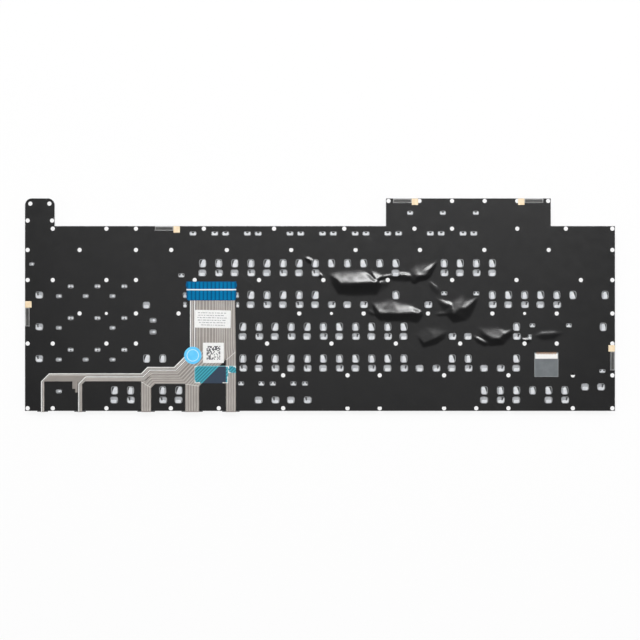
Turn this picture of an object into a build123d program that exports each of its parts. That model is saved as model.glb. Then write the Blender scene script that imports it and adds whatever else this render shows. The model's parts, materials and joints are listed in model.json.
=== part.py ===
from build123d import *

import os
from dataclasses import dataclass

# A laptop replacement keyboard lying face down on its keycaps, seen from its back.
# Millimetres. +X is right and +Y is up as seen from the back, +Z points out of the back.
# The keyboard's left hand, with the tab and shift keys, is therefore at +X.

# Key grid
key_unit = 19.05
row_pitch = 18.8
main_field_units = 14.74
numpad_pitch = 15.88
numpad_columns = 4
function_pitch = 19.3
function_group_gap = 5.9
function_row_depth = 14.7
top_strip_depth = 16.4
key_gap = 3.2
main_rows = 5
function_count = 12
function_group = 4
hot_count = 5

# Margins of the support plate round the key cells
main_side_margin = 1.2
numpad_side_margin = 0.6
field_gap = 3.2
bottom_margin = 0.8
tab_side_margin = 1.2
hot_block_margin = 0.6
tab_corner_radius = 4.1

# Keycaps, from the touch face on the ground to the open skirt
cap_height = 2.4
cap_roof = 0.9
cap_wall = 1.0
cap_inset = 0.7
key_travel = 1.8
travel_clearance = 0.1

# Rubber domes under the keycaps
dome_base_radius = 3.2
dome_top_radius = 1.7
dome_sides = 4
dome_clearance = 0.1

# The stack of sheets behind the keys
membrane_thickness = 0.25
plate_thickness = 0.4
guide_thickness = 0.4
film_thickness = 0.08
sheet_inset = 3.5
film_inset = 0.2

# Heat-stake holes
stake_diameter = 2.5
stake_wall = 0.15
stake_sides = 5
mount_window_clearance = 0.05
stake_rise = 0.5
stake_high_rise = 1.5

# Windows in the back film over the hooks of each key, as width and depth
upper_window = (4.1, 4.9)
lower_window = (4.6, 4.0)
upper_window_offset = (4.76, 2.0)
lower_window_offset = (4.97, -3.7)
function_window = (4.1, 2.7)
function_window_offset = (3.2, 2.9)
small_window = (3.5, 2.3)
numpad_upper_offset = (2.7, 7.2)
numpad_lower_offset = (-4.3, 1.4)
wide_window = (4.5, 4.1)
slot_window = (3.6, 2.6)
slot_window_offset = (3.4, 6.0)

# Membrane tails folded round the bottom edge, and the ribbon that they join on the back
tail_thickness = 0.15
guard_thickness = 0.5
guard_margin = 2.2
tail_spans = ((9.5, 11.5), (31.4, 33.8), (68.8, 74.7), (94.9, 103.1), (119.0, 124.9))
run_low = 17.5
run_high = 22.3
shelf_low = 16.0
shelf_high = 26.1
ribbon_left = 97.7
ribbon_right = 124.3
ribbon_end = 71.0
ribbon_waist = 35.5
ribbon_fork = 30.5
tail_chamfer = 2.4

# Pieces stuck on the ribbon and the film, placed from the left and bottom edges
stiffener_size = (30.2, 11.2)
stiffener_thickness = 0.25
stiffener_chamfer = 1.0
cover_span = (100.4, 120.4)
cover_tab_end = 124.9
cover_low = 16.4
cover_high = 26.7
cover_tab_depth = 4.1
cover_thickness = 0.05
label_thickness = 0.08
wide_label_size = (21.0, 10.5)
wide_label_centre = (111.3, 54.4)
wide_label_turn = -1.0
square_label_size = (12.3, 12.0)
square_label_centre = (111.6, 34.4)
sticker_diameter = 10.3
sticker_sides = 24
sticker_centre = (99.4, 32.9)
cable_size = (14.2, 14.9)
cable_centre = (308.6, 27.6)
cable_thickness = 0.15

# Light strips along the edges, each with one tape tab at an end
strip_length = 10.5
strip_width = 2.0
strip_edge_inset = 0.5
strip_clearance = 0.3
tape_length = 3.8
tape_width = 4.0
tape_thickness = 0.06

# Creases that stand up in the back film, as start, end, width and height
crease_runs = (
    ((180.5, 79.5), (212.0, 73.0), 5.0, 1.3),
    ((231.0, 86.0), (243.0, 79.5), 5.0, 1.0),
    ((206.0, 62.0), (228.0, 57.2), 5.0, 0.9),
    ((244.5, 66.5), (266.5, 59.0), 5.5, 1.2),
    ((267.0, 47.2), (287.0, 45.4), 4.5, 1.0),
)


@dataclass(frozen=True)
class Key:
    """One key: its name, the centre of its cell and the size of its cell."""

    name: str
    x: float
    y: float
    width: float
    depth: float


# Heights of the stack, from the ground up
z_membrane = cap_height + key_travel + travel_clearance
z_plate = z_membrane + membrane_thickness
z_guide = z_plate + plate_thickness
z_film = z_guide + guide_thickness
z_back = z_film + film_thickness
z_ribbon_top = z_back + tail_thickness

# Outline of the support plate
main_field_width = main_field_units * key_unit
numpad_width = numpad_columns * numpad_pitch
overall_width = numpad_side_margin + numpad_width + field_gap + main_field_width + main_side_margin
body_depth = bottom_margin + main_rows * row_pitch + function_row_depth
tail_overhang = guard_thickness + tail_thickness
overall_depth = tail_overhang + body_depth + top_strip_depth
left_edge = -overall_width / 2
right_edge = overall_width / 2
bottom_edge = -overall_depth / 2 + tail_overhang
body_top = bottom_edge + body_depth
strip_top = body_top + top_strip_depth
tab_right = left_edge + numpad_side_margin + numpad_pitch + tab_side_margin
main_right = right_edge - main_side_margin
main_left = main_right - main_field_width
numpad_left = left_edge + numpad_side_margin

stake_edge_inset = film_inset + stake_diameter / 2 + stake_wall

# Rows, counted up from the space bar
row_y = [bottom_edge + bottom_margin + row_pitch * (i + 0.5) for i in range(main_rows)]
bottom_row, shift_row, home_row, top_row, number_row = row_y
function_row = body_top - function_row_depth / 2
strip_row = body_top + top_strip_depth / 2

# Rows of the main field as names and widths in units, from its +X end.
# The last width of None takes what is left of the field, and a name of None is a gap.
number_keys = [(n, 1) for n in "grave 1 2 3 4 5 6 7 8 9 0 minus equals".split()]
number_keys += [("backspace", None)]
top_keys = [("tab", 1.5)]
top_keys += [(n, 1) for n in "q w e r t y u i o p bracket_left bracket_right".split()]
top_keys += [("backslash", None)]
home_keys = [("caps_lock", 1.75)]
home_keys += [(n, 1) for n in "a s d f g h j k l semicolon quote".split()]
home_keys += [("enter", None)]
shift_keys = [("left_shift", 2.25)]
shift_keys += [(n, 1) for n in "z x c v b n m comma period slash".split()]
shift_keys += [("right_shift", 1.49), ("up", 1)]
bottom_keys = [("left_ctrl", 1.25), ("fn", 1), ("system", 1), ("left_alt", 1), ("space", 5)]
bottom_keys += [("right_alt", 1), ("menu", 1), ("right_ctrl", 1), (None, 0.49)]
bottom_keys += [("left", 1), ("down", 1), ("right", 1)]


def row_of_keys(specs, y):
    """The keys of one row of the main field, laid from its +X end."""
    keys = []
    x = main_right
    for name, units in specs:
        width = x - main_left if units is None else units * key_unit
        if name:
            keys.append(Key(name, x - width / 2, y, width, row_pitch))
        x -= width
    return keys


def column_x(column):
    """The middle of a number pad column, counted from the outer edge."""
    return numpad_left + numpad_pitch * (column + 0.5)


def pad_key(name, column, y, depth=row_pitch):
    """One key of the number pad."""
    return Key(name, column_x(column), y, numpad_pitch, depth)


def function_x(number):
    """The middle of function key number, with a gap after each four, laid from F12 at -X."""
    place = function_count - number
    groups_before = place // function_group
    return main_left + function_pitch * (place + 0.5) + function_group_gap * groups_before


rows = [
    row_of_keys(number_keys, number_row),
    row_of_keys(top_keys, top_row),
    row_of_keys(home_keys, home_row),
    row_of_keys(shift_keys, shift_row),
    row_of_keys(bottom_keys, bottom_row),
]
key_list = [key for row in rows for key in row]
key_list += [
    Key(f"f{n}", function_x(n), function_row, function_pitch, function_row_depth)
    for n in range(1, function_count + 1)
]
key_list += [Key("escape", main_right - key_unit / 2, function_row, key_unit, function_row_depth)]
hot_x = [function_x(1) - function_pitch * i for i in range(hot_count)]
key_list += [
    Key(f"hot_{i + 1}", x, strip_row, function_pitch, function_row_depth)
    for i, x in enumerate(hot_x)
]
power_width = tab_right - left_edge - 2 * tab_side_margin
power_x = (left_edge + tab_right) / 2
key_list += [Key("power", power_x, strip_row, power_width, function_row_depth)]
key_list += [
    pad_key(f"pad_top_{c}", c, function_row, function_row_depth) for c in range(numpad_columns)
]
key_list += [pad_key(f"pad_number_{c}", c, number_row) for c in range(numpad_columns)]
key_list += [pad_key(f"pad_upper_{c}", c, top_row) for c in (1, 2, 3)]
key_list += [pad_key(f"pad_middle_{c}", c, home_row) for c in (1, 2, 3)]
key_list += [pad_key(f"pad_lower_{c}", c, shift_row) for c in (1, 2, 3)]
key_list += [pad_key("pad_plus", 0, (top_row + home_row) / 2, 2 * row_pitch)]
key_list += [pad_key("pad_enter", 0, (shift_row + bottom_row) / 2, 2 * row_pitch)]
key_list += [pad_key("pad_point", 1, bottom_row), pad_key("pad_zero", 2, bottom_row)]
keys = {key.name: key for key in key_list}

# Keys that are pieces of their own, and groups of like keys
moving_keys = list("qwertyuiopasdfghjklzxcvbnm")
moving_keys += "space enter backspace tab caps_lock left_shift right_shift left_ctrl".split()
moving_keys += "escape power up left down right".split()
key_groups = {
    "number_row_keys": "grave 1 2 3 4 5 6 7 8 9 0 minus equals".split(),
    "punctuation_keys": (
        "bracket_left bracket_right backslash semicolon quote comma period slash".split()
    ),
    "modifier_keys": "fn system left_alt right_alt menu right_ctrl".split(),
    "function_keys": [f"f{n}" for n in range(1, function_count + 1)],
    "hot_keys": [f"hot_{i + 1}" for i in range(hot_count)],
    "number_pad_keys": [name for name in keys if name.startswith("pad_")],
}

hot_left = min(hot_x) - function_pitch / 2 - hot_block_margin
hot_right = max(hot_x) + function_pitch / 2 + hot_block_margin


def from_edges(x, y):
    """A point given by its distances from the left and bottom edges of the plate."""
    return left_edge + x, bottom_edge + y


def outline_points(inset):
    """Corners of the stepped outline, drawn in by an inset, from the bottom left corner round."""
    low, top, peak = bottom_edge + inset, body_top - inset, strip_top - inset
    left, right = left_edge + inset, right_edge - inset
    return [
        (left, low),
        (right, low),
        (right, top),
        (hot_right - inset, top),
        (hot_right - inset, peak),
        (hot_left + inset, peak),
        (hot_left + inset, top),
        (tab_right - inset, top),
        (tab_right - inset, peak),
        (left, peak),
    ]


def outline_wire(inset):
    """The stepped outline with the round shoulders of the power key's tab."""
    *corners, (right, peak), (left, _) = outline_points(inset)
    shoulder = tab_corner_radius - inset
    foot = peak - shoulder
    edges = Polyline((left, foot), *corners, (right, foot)).edges()
    edges += TangentArc((right, foot), (right - shoulder, peak), tangent=(0, 1)).edges()
    edges += Line((right - shoulder, peak), (left + shoulder, peak)).edges()
    edges += TangentArc((left + shoulder, peak), (left, foot), tangent=(-1, 0)).edges()
    return Wire(edges)


# Places of the heat-stake holes
def cell_edges(specs, y):
    """The +X edge of every key cell in a row, then the row's end."""
    row = row_of_keys(specs, y)
    return [key.x + key.width / 2 for key in row] + [row[-1].x - row[-1].width / 2]


number_edges = cell_edges(number_keys, number_row)
top_edges = cell_edges(top_keys, top_row)
home_edges = cell_edges(home_keys, home_row)
shift_edges = cell_edges(shift_keys, shift_row)
control_edge = cell_edges(bottom_keys, bottom_row)[1]
pad_edges = [numpad_left + numpad_pitch * i for i in range(numpad_columns + 1)]
field_gap_x = (pad_edges[-1] + main_left) / 2
left_stake = left_edge + stake_edge_inset
right_stake = right_edge - stake_edge_inset
low_stake = bottom_edge + stake_edge_inset
number_stake = number_row + row_pitch / 2 + stake_rise


def function_edge(number):
    """The edge between a function key and the next one, in the middle of any gap."""
    return (function_x(number) + function_x(number + 1)) / 2


stake_rows = {
    number_stake: [left_stake, pad_edges[2], field_gap_x, function_edge(11)]
    + number_edges[2:13:2]
    + [right_stake],
    number_row - row_pitch / 2 + stake_high_rise: [left_stake, pad_edges[1], pad_edges[3], field_gap_x]
    + number_edges[1:14:2]
    + [right_stake],
    top_row - row_pitch / 2 + stake_rise: [pad_edges[2], pad_edges[3], field_gap_x, top_edges[13]]
    + [home_edges[i] for i in (1, 2, 3, 5, 7, 8, 9)]
    + [right_stake],
    home_row - row_pitch / 2 + stake_high_rise: [left_stake, pad_edges[1], pad_edges[3], field_gap_x]
    + [home_edges[i] for i in (1, 2, 4, 6, 8, 10)]
    + [right_stake],
    shift_row - row_pitch / 2 + stake_high_rise: [shift_edges[i] for i in (2, 4, 6, 7, 9)]
    + [control_edge, right_stake],
    low_stake: [left_stake, pad_edges[1], pad_edges[3]]
    + [shift_edges[i] for i in (2, 3, 4, 6, 7, 9)]
    + [keys["left"].x - key_unit / 2, keys["right_ctrl"].x - key_unit / 2]
    + [control_edge, right_stake],
    body_top - stake_edge_inset: [pad_edges[1], pad_edges[3], field_gap_x]
    + [function_edge(n) for n in (10, 8, 6, 4, 3, 1)]
    + [(hot_right + keys["escape"].x - key_unit / 2) / 2, right_stake],
    strip_top - stake_edge_inset: [hot_left + stake_edge_inset, hot_right - stake_edge_inset]
    + [(a + b) / 2 for a, b in zip(hot_x, hot_x[1:])],
    strip_top - 2 * stake_edge_inset: [left_edge + 2 * stake_edge_inset, tab_right - 2 * stake_edge_inset],
    body_top + 2 * stake_edge_inset: [left_stake, tab_right - stake_edge_inset],
}
stakes = [(x, y) for y, places in stake_rows.items() for x in places]
mount_holes = [(x, y) for x in (left_stake, right_stake) for y in (low_stake, number_stake)]

# Windows of the back film: the corners seen at each key, upper then lower, left then right
open_keys = (
    "equals minus 0 9 8 7 4 p o w q semicolon l k j h period comma m n b c left_alt fn right"
).split()
corners_seen = {name: "abcd" for name in open_keys}
corners_seen |= {"6": "ac", "5": "bd", "3": "ac", "i": "acd", "u": "cd", "y": "b", "t": "d"}
corners_seen |= {"e": "bd", "g": "ac", "f": "d", "d": "c", "s": "bd", "slash": "bd", "v": "cd"}
corners_seen |= {"x": "cd", "z": "ac", "system": "abc", "up": "ab", "left": "ac", "down": "bd"}
corners_seen |= {"right_alt": "cd", "menu": "cd", "tab": "ab"}
corner_places = {
    "a": (-1, upper_window_offset, upper_window),
    "b": (1, upper_window_offset, upper_window),
    "c": (-1, lower_window_offset, lower_window),
    "d": (1, lower_window_offset, lower_window),
}


def film_windows():
    """Centre and size of each window of the back film."""
    windows = []
    for name, corners in corners_seen.items():
        key = keys[name]
        spread = key.width - key_unit
        for corner in corners:
            side, (dx, dy), size = corner_places[corner]
            windows.append((key.x + side * (dx + spread / 2), key.y + dy, size))
    dx, dy = function_window_offset
    for n in range(3, 12):
        for side in (-1, 1) if n < 11 else (1,):
            windows.append((function_x(n) + side * dx, function_row + dy, function_window))
    for name in key_groups["number_pad_keys"]:
        if name.startswith(("pad_upper", "pad_middle", "pad_lower")):
            for dx, dy in (numpad_upper_offset, numpad_lower_offset):
                windows.append((keys[name].x + dx, keys[name].y + dy, small_window))
    dx, dy = numpad_lower_offset
    windows.append((keys["pad_point"].x + dx, bottom_row + dy, small_window))
    for y in (top_row, home_row, shift_row):
        windows.append((column_x(0), y + upper_window_offset[1], wide_window))
    dx, dy = slot_window_offset
    for name in ("right_alt", "menu"):
        for side in (-1, 1):
            windows.append((keys[name].x + side * dx, bottom_row + dy, slot_window))
    for side in (-1, 1):
        x = keys["left_ctrl"].x + side * upper_window_offset[0]
        windows.append((x, bottom_row + upper_window_offset[1] + wide_window[1] / 2, wide_window))
    return windows


# Light strips: the edge that each lies on, its middle, and the end that carries its tape.
# Edges are given by the direction in which they face.
strip_spots = (
    ((-1, 0), from_edges(0, 55.6)[1], 1),
    ((0, 1), from_edges(82.4, 0)[0], 1),
    ((0, 2), from_edges(223.4, 0)[0], 1),
    ((0, 2), from_edges(301.2, 0)[0], -1),
    ((1, 0), from_edges(0, 29.6)[1], 1),
)


def edge_rectangle(spot, start, end, near, far):
    """A rectangle along an edge: a stretch along it, and its distances in from the edge."""
    (side_x, side_y), middle, _ = spot
    if side_x:
        edge = left_edge if side_x < 0 else right_edge
        xs = sorted((edge - side_x * near, edge - side_x * far))
        return xs[0], middle + start, xs[1], middle + end
    edge = strip_top if side_y > 1 else body_top
    return middle + start, edge - far, middle + end, edge - near


def rectangle_wire(x0, y0, x1, y1):
    """A closed rectangle between two corners."""
    corners = ((x0, y0), (x1, y0), (x1, y1), (x0, y1))
    return Wire.make_polygon([Vector(x, y) for x, y in corners])


def slab(wire, z, thickness, holes=()):
    """A flat sheet of a given outline that lies at height z."""
    return Pos(0, 0, z) * extrude(Face(wire, list(holes)), thickness, dir=(0, 0, 1))


def block(x0, y0, x1, y1, z, thickness):
    """A flat rectangular piece between two corners."""
    return slab(rectangle_wire(x0, y0, x1, y1), z, thickness)


def frustum(low, high):
    """A flat-sided body between two like polygons, one above the other."""
    sides = [
        (low[i - 1], low[i], high[i], high[i - 1])
        for i in range(len(low))
    ]
    faces = [Face(Wire.make_polygon(corners)) for corners in [low, high, *sides]]
    return Solid(Shell(faces))


def ring(shape, x, y, z):
    """The corners of a flat shape, moved to a place."""
    edges = shape.wire().order_edges()
    return [edge.position_at(0) + Vector(x, y, z) for edge in edges]


def keycap(key):
    """A hollow keycap: tapered sides, a roof on the ground and a skirt open towards the plate."""
    width, depth = key.width - key_gap, key.depth - key_gap
    lean = cap_inset / cap_height

    def section(z, wall):
        drawn_in = 2 * (wall + lean * (cap_height - z))
        return ring(Rectangle(width - drawn_in, depth - drawn_in), key.x, key.y, z)

    body = frustum(section(0, 0), section(cap_height, 0))
    return body - frustum(section(cap_roof, cap_wall), section(cap_height, cap_wall))


def dome(key):
    """A rubber dome from the membrane to just under the keycap's roof."""
    crown = RegularPolygon(dome_top_radius, dome_sides, major_radius=False)
    foot = RegularPolygon(dome_base_radius, dome_sides, major_radius=False)
    z_crown = cap_roof + dome_clearance
    return frustum(ring(crown, key.x, key.y, z_crown), ring(foot, key.x, key.y, z_membrane))


def stake_wire(x, y):
    """An opening of the back film over a stake hole, larger over the mounting holes."""
    if (x, y) in mount_holes:
        half = stake_diameter / 2 + mount_window_clearance
        return rectangle_wire(x - half, y - half, x + half, y + half)
    hole = Pos(x, y) * RegularPolygon(stake_diameter / 2, stake_sides)
    return hole.wire()


def crease(start, end, width, height):
    """A fold of the film that stands up as a low ridge, dying out at both ends."""
    a = Vector(*from_edges(*start), z_film)
    b = Vector(*from_edges(*end), z_film)
    along = (b - a).normalized()
    across = Vector(-along.Y, along.X, 0) * (width / 2)
    middle = (a + b) * 0.5
    left, right = middle + across, middle - across
    peak = middle + Vector(0, 0, film_thickness + height)
    sides = [(a, right, peak), (right, b, peak), (b, left, peak), (left, a, peak)]
    faces = [Face(Wire.make_polygon(corners)) for corners in sides]
    faces.append(Face(Wire.make_polygon([a, left, b, right])))
    return Solid(Shell(faces))


def make_back_film():
    """The black film on the back: windows, stake holes, creases and notches over the light strips."""
    holes = [stake_wire(x, y) for x, y in stakes]
    for x, y, (width, depth) in film_windows():
        holes.append(rectangle_wire(x - width / 2, y - depth / 2, x + width / 2, y + depth / 2))
    film = slab(outline_wire(film_inset), z_film, film_thickness, holes)
    reach = strip_edge_inset + strip_width + strip_clearance
    half = strip_length / 2 + strip_clearance
    for spot in strip_spots:
        film -= block(*edge_rectangle(spot, -half, half, -strip_width, reach), z_film, film_thickness)
    for run in crease_runs:
        film += crease(*run)
    return film


def make_support_plate():
    """The stamped metal plate that carries everything, with the four corner mounting holes."""
    holes = [Wire.make_circle(stake_diameter / 2, Plane((x, y, 0))) for x, y in mount_holes]
    return slab(outline_wire(0), z_plate, plate_thickness, holes)


def plain_sheet(z, thickness):
    """An inner sheet of the stack, drawn in from the plate's edge."""
    corners = [Vector(x, y) for x, y in outline_points(sheet_inset)]
    return slab(Wire.make_polygon(corners), z, thickness)


def ribbon_points():
    """The ribbon on the back: five tails that turn in steps of 45 degrees into one wide end."""
    (a0, a1), (b0, b1), (c0, c1), (d0, d1), (e0, e1) = tail_spans
    run = run_high - run_low
    step = shelf_high - run_high
    return [
        (a0, 0),
        (a0, run_low),
        (a0 + run, run_high),
        (c0, run_high),
        (c0 + step, shelf_high),
        (ribbon_left - (ribbon_waist - shelf_high), shelf_high),
        (ribbon_left, ribbon_waist),
        (ribbon_left, ribbon_end),
        (ribbon_right, ribbon_end),
        (e1, ribbon_waist),
        (e1, 0),
        (e0, 0),
        (e0, ribbon_fork),
        (d1, ribbon_fork - (e0 - d1)),
        (d1, 0),
        (d0, 0),
        (d0, shelf_low),
        (c1 + tail_chamfer, shelf_low),
        (c1, shelf_low - tail_chamfer),
        (c1, 0),
        (c0, 0),
        (c0, run_low),
        (b1, run_low),
        (b1, 0),
        (b0, 0),
        (b0, run_low),
        (a1, run_low),
        (a1, 0),
    ]


def make_membrane():
    """The switch membrane with its tails folded round the plate's edge into one ribbon on the back."""
    sheet = plain_sheet(z_membrane, membrane_thickness)
    ribbon = slab(
        Wire.make_polygon([Vector(*from_edges(x, y)) for x, y in ribbon_points()]),
        z_back,
        tail_thickness,
    )
    sheet += ribbon
    fold = bottom_edge - guard_thickness
    z_front = z_plate - tail_thickness
    for start, end in tail_spans:
        x0, x1 = left_edge + start, left_edge + end
        sheet += block(x0, fold, x1, bottom_edge + sheet_inset, z_front, tail_thickness)
        sheet += block(x0, fold, x1, bottom_edge, z_back, tail_thickness)
        sheet += block(x0, fold - tail_thickness, x1, fold, z_front, z_ribbon_top - z_front)
    return sheet


def make_edge_guards():
    """Pads on the plate's bottom edge that keep the folded tails off the metal."""
    return [
        block(
            left_edge + start - guard_margin,
            bottom_edge - guard_thickness,
            left_edge + end + guard_margin,
            bottom_edge,
            z_plate,
            z_back - z_plate,
        )
        for start, end in tail_spans
    ]


def make_stiffener():
    """The stiff end of the ribbon, which goes into the socket."""
    width, depth = stiffener_size
    x, y = from_edges((ribbon_left + ribbon_right) / 2, ribbon_end)
    face = Pos(x, y) * Rectangle(width, depth)
    low_corners = face.vertices().sort_by(Axis.Y)[:2]
    face = chamfer(low_corners, stiffener_chamfer)
    return Pos(0, 0, z_ribbon_top) * extrude(face, stiffener_thickness)


def make_ribbon_cover():
    """The clear insulating film over the crossing of the ribbon, with its side tab."""
    x0, x1 = cover_span
    corners = [
        (x0, cover_low),
        (x1, cover_low),
        (x1, cover_high - cover_tab_depth),
        (cover_tab_end, cover_high - cover_tab_depth),
        (cover_tab_end, cover_high),
        (x0, cover_high),
    ]
    wire = Wire.make_polygon([Vector(*from_edges(x, y)) for x, y in corners])
    return slab(wire, z_ribbon_top, cover_thickness)


def make_labels():
    """Two paper labels on the ribbon."""
    wide = Pos(*from_edges(*wide_label_centre)) * Rot(0, 0, wide_label_turn) * Rectangle(*wide_label_size)
    square = Pos(*from_edges(*square_label_centre)) * Rectangle(*square_label_size)
    return [Pos(0, 0, z_ribbon_top) * extrude(face, label_thickness) for face in (wide, square)]


def make_sticker():
    """The round sticker at the ribbon's bend."""
    face = Pos(*from_edges(*sticker_centre)) * RegularPolygon(sticker_diameter / 2, sticker_sides)
    return Pos(0, 0, z_ribbon_top) * extrude(face, label_thickness)


def make_backlight_cable():
    """The flat end of the backlight's cable, stuck to the film."""
    face = Pos(*from_edges(*cable_centre)) * Rectangle(*cable_size)
    return Pos(0, 0, z_back) * extrude(face, cable_thickness)


def make_light_strips():
    """The light strips on the plate's margin, beside the light guide."""
    far = strip_edge_inset + strip_width
    half = strip_length / 2
    return [
        block(*edge_rectangle(spot, -half, half, strip_edge_inset, far), z_guide, guide_thickness)
        for spot in strip_spots
    ]


def make_tape_tabs():
    """A tab of tape on the film at one end of each light strip."""
    tabs = []
    for spot in strip_spots:
        start = strip_length / 2 + strip_clearance
        end = start + tape_length
        if spot[2] < 0:
            start, end = -end, -start
        tabs.append(block(*edge_rectangle(spot, start, end, film_inset, tape_width), z_back, tape_thickness))
    return tabs


nodes = {f"key_{name}": keycap(keys[name]) for name in moving_keys}
nodes |= {group: [keycap(keys[name]) for name in names] for group, names in key_groups.items()}
nodes |= {
    "rubber_domes": [dome(key) for key in key_list],
    "switch_membrane": make_membrane(),
    "support_plate": make_support_plate(),
    "light_guide": plain_sheet(z_guide, guide_thickness),
    "back_film": make_back_film(),
    "edge_guards": make_edge_guards(),
    "connector_stiffener": make_stiffener(),
    "ribbon_cover": make_ribbon_cover(),
    "paper_labels": make_labels(),
    "round_sticker": make_sticker(),
    "backlight_cable": make_backlight_cable(),
    "light_strips": make_light_strips(),
    "tape_tabs": make_tape_tabs(),
}

os.makedirs("parts", exist_ok=True)
for name, shape in nodes.items():
    solids = shape if isinstance(shape, list) else [shape]
    export_step(Compound(children=[s for part in solids for s in part.solids()]), f"parts/{name}.step")
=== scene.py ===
"""Dresses the solids of a laptop keyboard that lies face down, seen from its back."""

import json
import logging
import math
from dataclasses import dataclass
from enum import Enum
from typing import Any, Iterable, Sequence

import bmesh
import bpy
import numpy as np
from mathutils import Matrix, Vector, geometry, noise


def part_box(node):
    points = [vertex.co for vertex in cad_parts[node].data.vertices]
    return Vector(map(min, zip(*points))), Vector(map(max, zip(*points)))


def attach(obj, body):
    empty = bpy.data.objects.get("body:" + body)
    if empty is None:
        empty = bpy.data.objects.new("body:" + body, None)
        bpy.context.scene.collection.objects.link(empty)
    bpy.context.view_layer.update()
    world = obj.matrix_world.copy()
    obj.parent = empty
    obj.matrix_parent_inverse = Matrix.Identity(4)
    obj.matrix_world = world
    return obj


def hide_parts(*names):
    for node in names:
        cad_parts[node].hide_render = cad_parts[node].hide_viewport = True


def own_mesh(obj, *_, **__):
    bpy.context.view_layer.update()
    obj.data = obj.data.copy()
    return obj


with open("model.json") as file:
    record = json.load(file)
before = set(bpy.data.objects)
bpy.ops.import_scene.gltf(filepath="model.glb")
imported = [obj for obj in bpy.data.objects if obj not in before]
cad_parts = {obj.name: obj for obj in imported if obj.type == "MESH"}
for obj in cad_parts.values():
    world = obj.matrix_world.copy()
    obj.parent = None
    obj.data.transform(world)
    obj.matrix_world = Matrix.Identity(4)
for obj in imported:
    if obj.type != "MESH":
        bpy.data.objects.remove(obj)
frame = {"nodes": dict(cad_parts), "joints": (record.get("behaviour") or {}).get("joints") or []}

LOG = logging.getLogger("keyboard")
MM = 0.001
BOARD = "board"
FORK = (103.1, 14.6)
LAST_TAIL = 119.0
Point2 = tuple[float, float]
Colour = tuple[float, float, float]
Crest = tuple[tuple[float, float, float], ...]


# Shader graphs


class Value:
    """A number that varies over a surface. Arithmetic on it adds Math nodes."""

    def __init__(self, graph: "Graph", socket: bpy.types.NodeSocket) -> None:
        """Wraps one output of a node of the graph."""
        self.graph = graph
        self.socket = socket

    def _math(self, operation: str, first: Any, second: Any) -> "Value":
        """Adds one Math node."""
        return self.graph.add("ShaderNodeMath", {"operation": operation}, {0: first, 1: second})

    def __add__(self, other: Any) -> "Value":
        """The sum with a number or a value."""
        return self._math("ADD", self, other)

    __radd__ = __add__

    def __sub__(self, other: Any) -> "Value":
        """This less a number or a value."""
        return self._math("SUBTRACT", self, other)

    def __rsub__(self, other: Any) -> "Value":
        """A number less this."""
        return self._math("SUBTRACT", other, self)

    def __mul__(self, other: Any) -> "Value":
        """The product with a number or a value."""
        return self._math("MULTIPLY", self, other)

    __rmul__ = __mul__

    def larger(self, other: Any) -> "Value":
        """The larger of this and a number or a value."""
        return self._math("MAXIMUM", self, other)

    def above(self, limit: float, soft: float) -> "Value":
        """A mask that is 1 above a limit.

        Args:
            limit: Middle of the change.
            soft: Half the width of the change.

        Returns:
            The mask, from 0 to 1.
        """
        ends = {1: limit - soft, 2: limit + soft}
        return self.graph.add("ShaderNodeMapRange", {"interpolation_type": "SMOOTHSTEP"}, {0: self, **ends})

    def spread(self, low: float, high: float) -> "Value":
        """Maps 0 to low and 1 to high."""
        return self * (high - low) + low


class Graph:
    """The node graph of one material."""

    def __init__(self, name: str) -> None:
        """Starts a material with one Principled shader."""
        self.material = bpy.data.materials.new(name)
        self.material.use_nodes = True
        self.tree = self.material.node_tree
        self.shader = self.tree.nodes["Principled BSDF"]
        self.place = self.add("ShaderNodeTexCoord", {}, {}, "Object")

    def add(self, kind: str, settings: dict[str, Any], inputs: dict[Any, Any], output: Any = 0) -> Value:
        """Adds a node.

        Args:
            kind: The node's type.
            settings: Properties, set before the sockets are filled.
            inputs: Numbers, colours or values for its sockets, by name or index.
            output: Name or index of the output to return.

        Returns:
            The chosen output.
        """
        node = self.tree.nodes.new(kind)
        for name, setting in settings.items():
            setattr(node, name, setting)
        for key, value in inputs.items():
            if isinstance(value, Value):
                self.tree.links.new(value.socket, node.inputs[key])
            else:
                node.inputs[key].default_value = value
        return Value(self, node.outputs[output])

    def noise(
        self, scale: float, detail: float = 3.0, stretch: Colour = (1, 1, 1), turn: float = 0.0
    ) -> Value:
        """A noise over the surface, with features of about one over scale metres."""
        inputs = {0: self.place, 2: (0, 0, turn), 3: stretch}
        spot = self.add("ShaderNodeMapping", {"vector_type": "TEXTURE"}, inputs)
        return self.add("ShaderNodeTexNoise", {}, {"Vector": spot, "Scale": scale, "Detail": detail})

    def axes(self) -> tuple[Value, Value, Value]:
        """The place's three coordinates in millimetres."""
        node = self.add("ShaderNodeSeparateXYZ", {}, {0: self.place}).socket.node
        x, y, z = (Value(self, out) * (1 / MM) for out in node.outputs)
        return x, y, z

    def mix(self, factor: Value, first: Any, second: Any) -> Value:
        """Blends two colours."""
        inputs = {0: factor, 6: self.colour(first), 7: self.colour(second)}
        return self.add("ShaderNodeMix", {"data_type": "RGBA"}, inputs, 2)

    @staticmethod
    def colour(value: Any) -> Any:
        """A colour with its alpha, or a value as it is."""
        return value if isinstance(value, Value) else (*value, 1.0)

    def feed(self, name: str, value: Any) -> None:
        """Sets or links one socket of the shader."""
        if isinstance(value, Value):
            self.tree.links.new(value.socket, self.shader.inputs[name])
        else:
            self.shader.inputs[name].default_value = value


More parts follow.
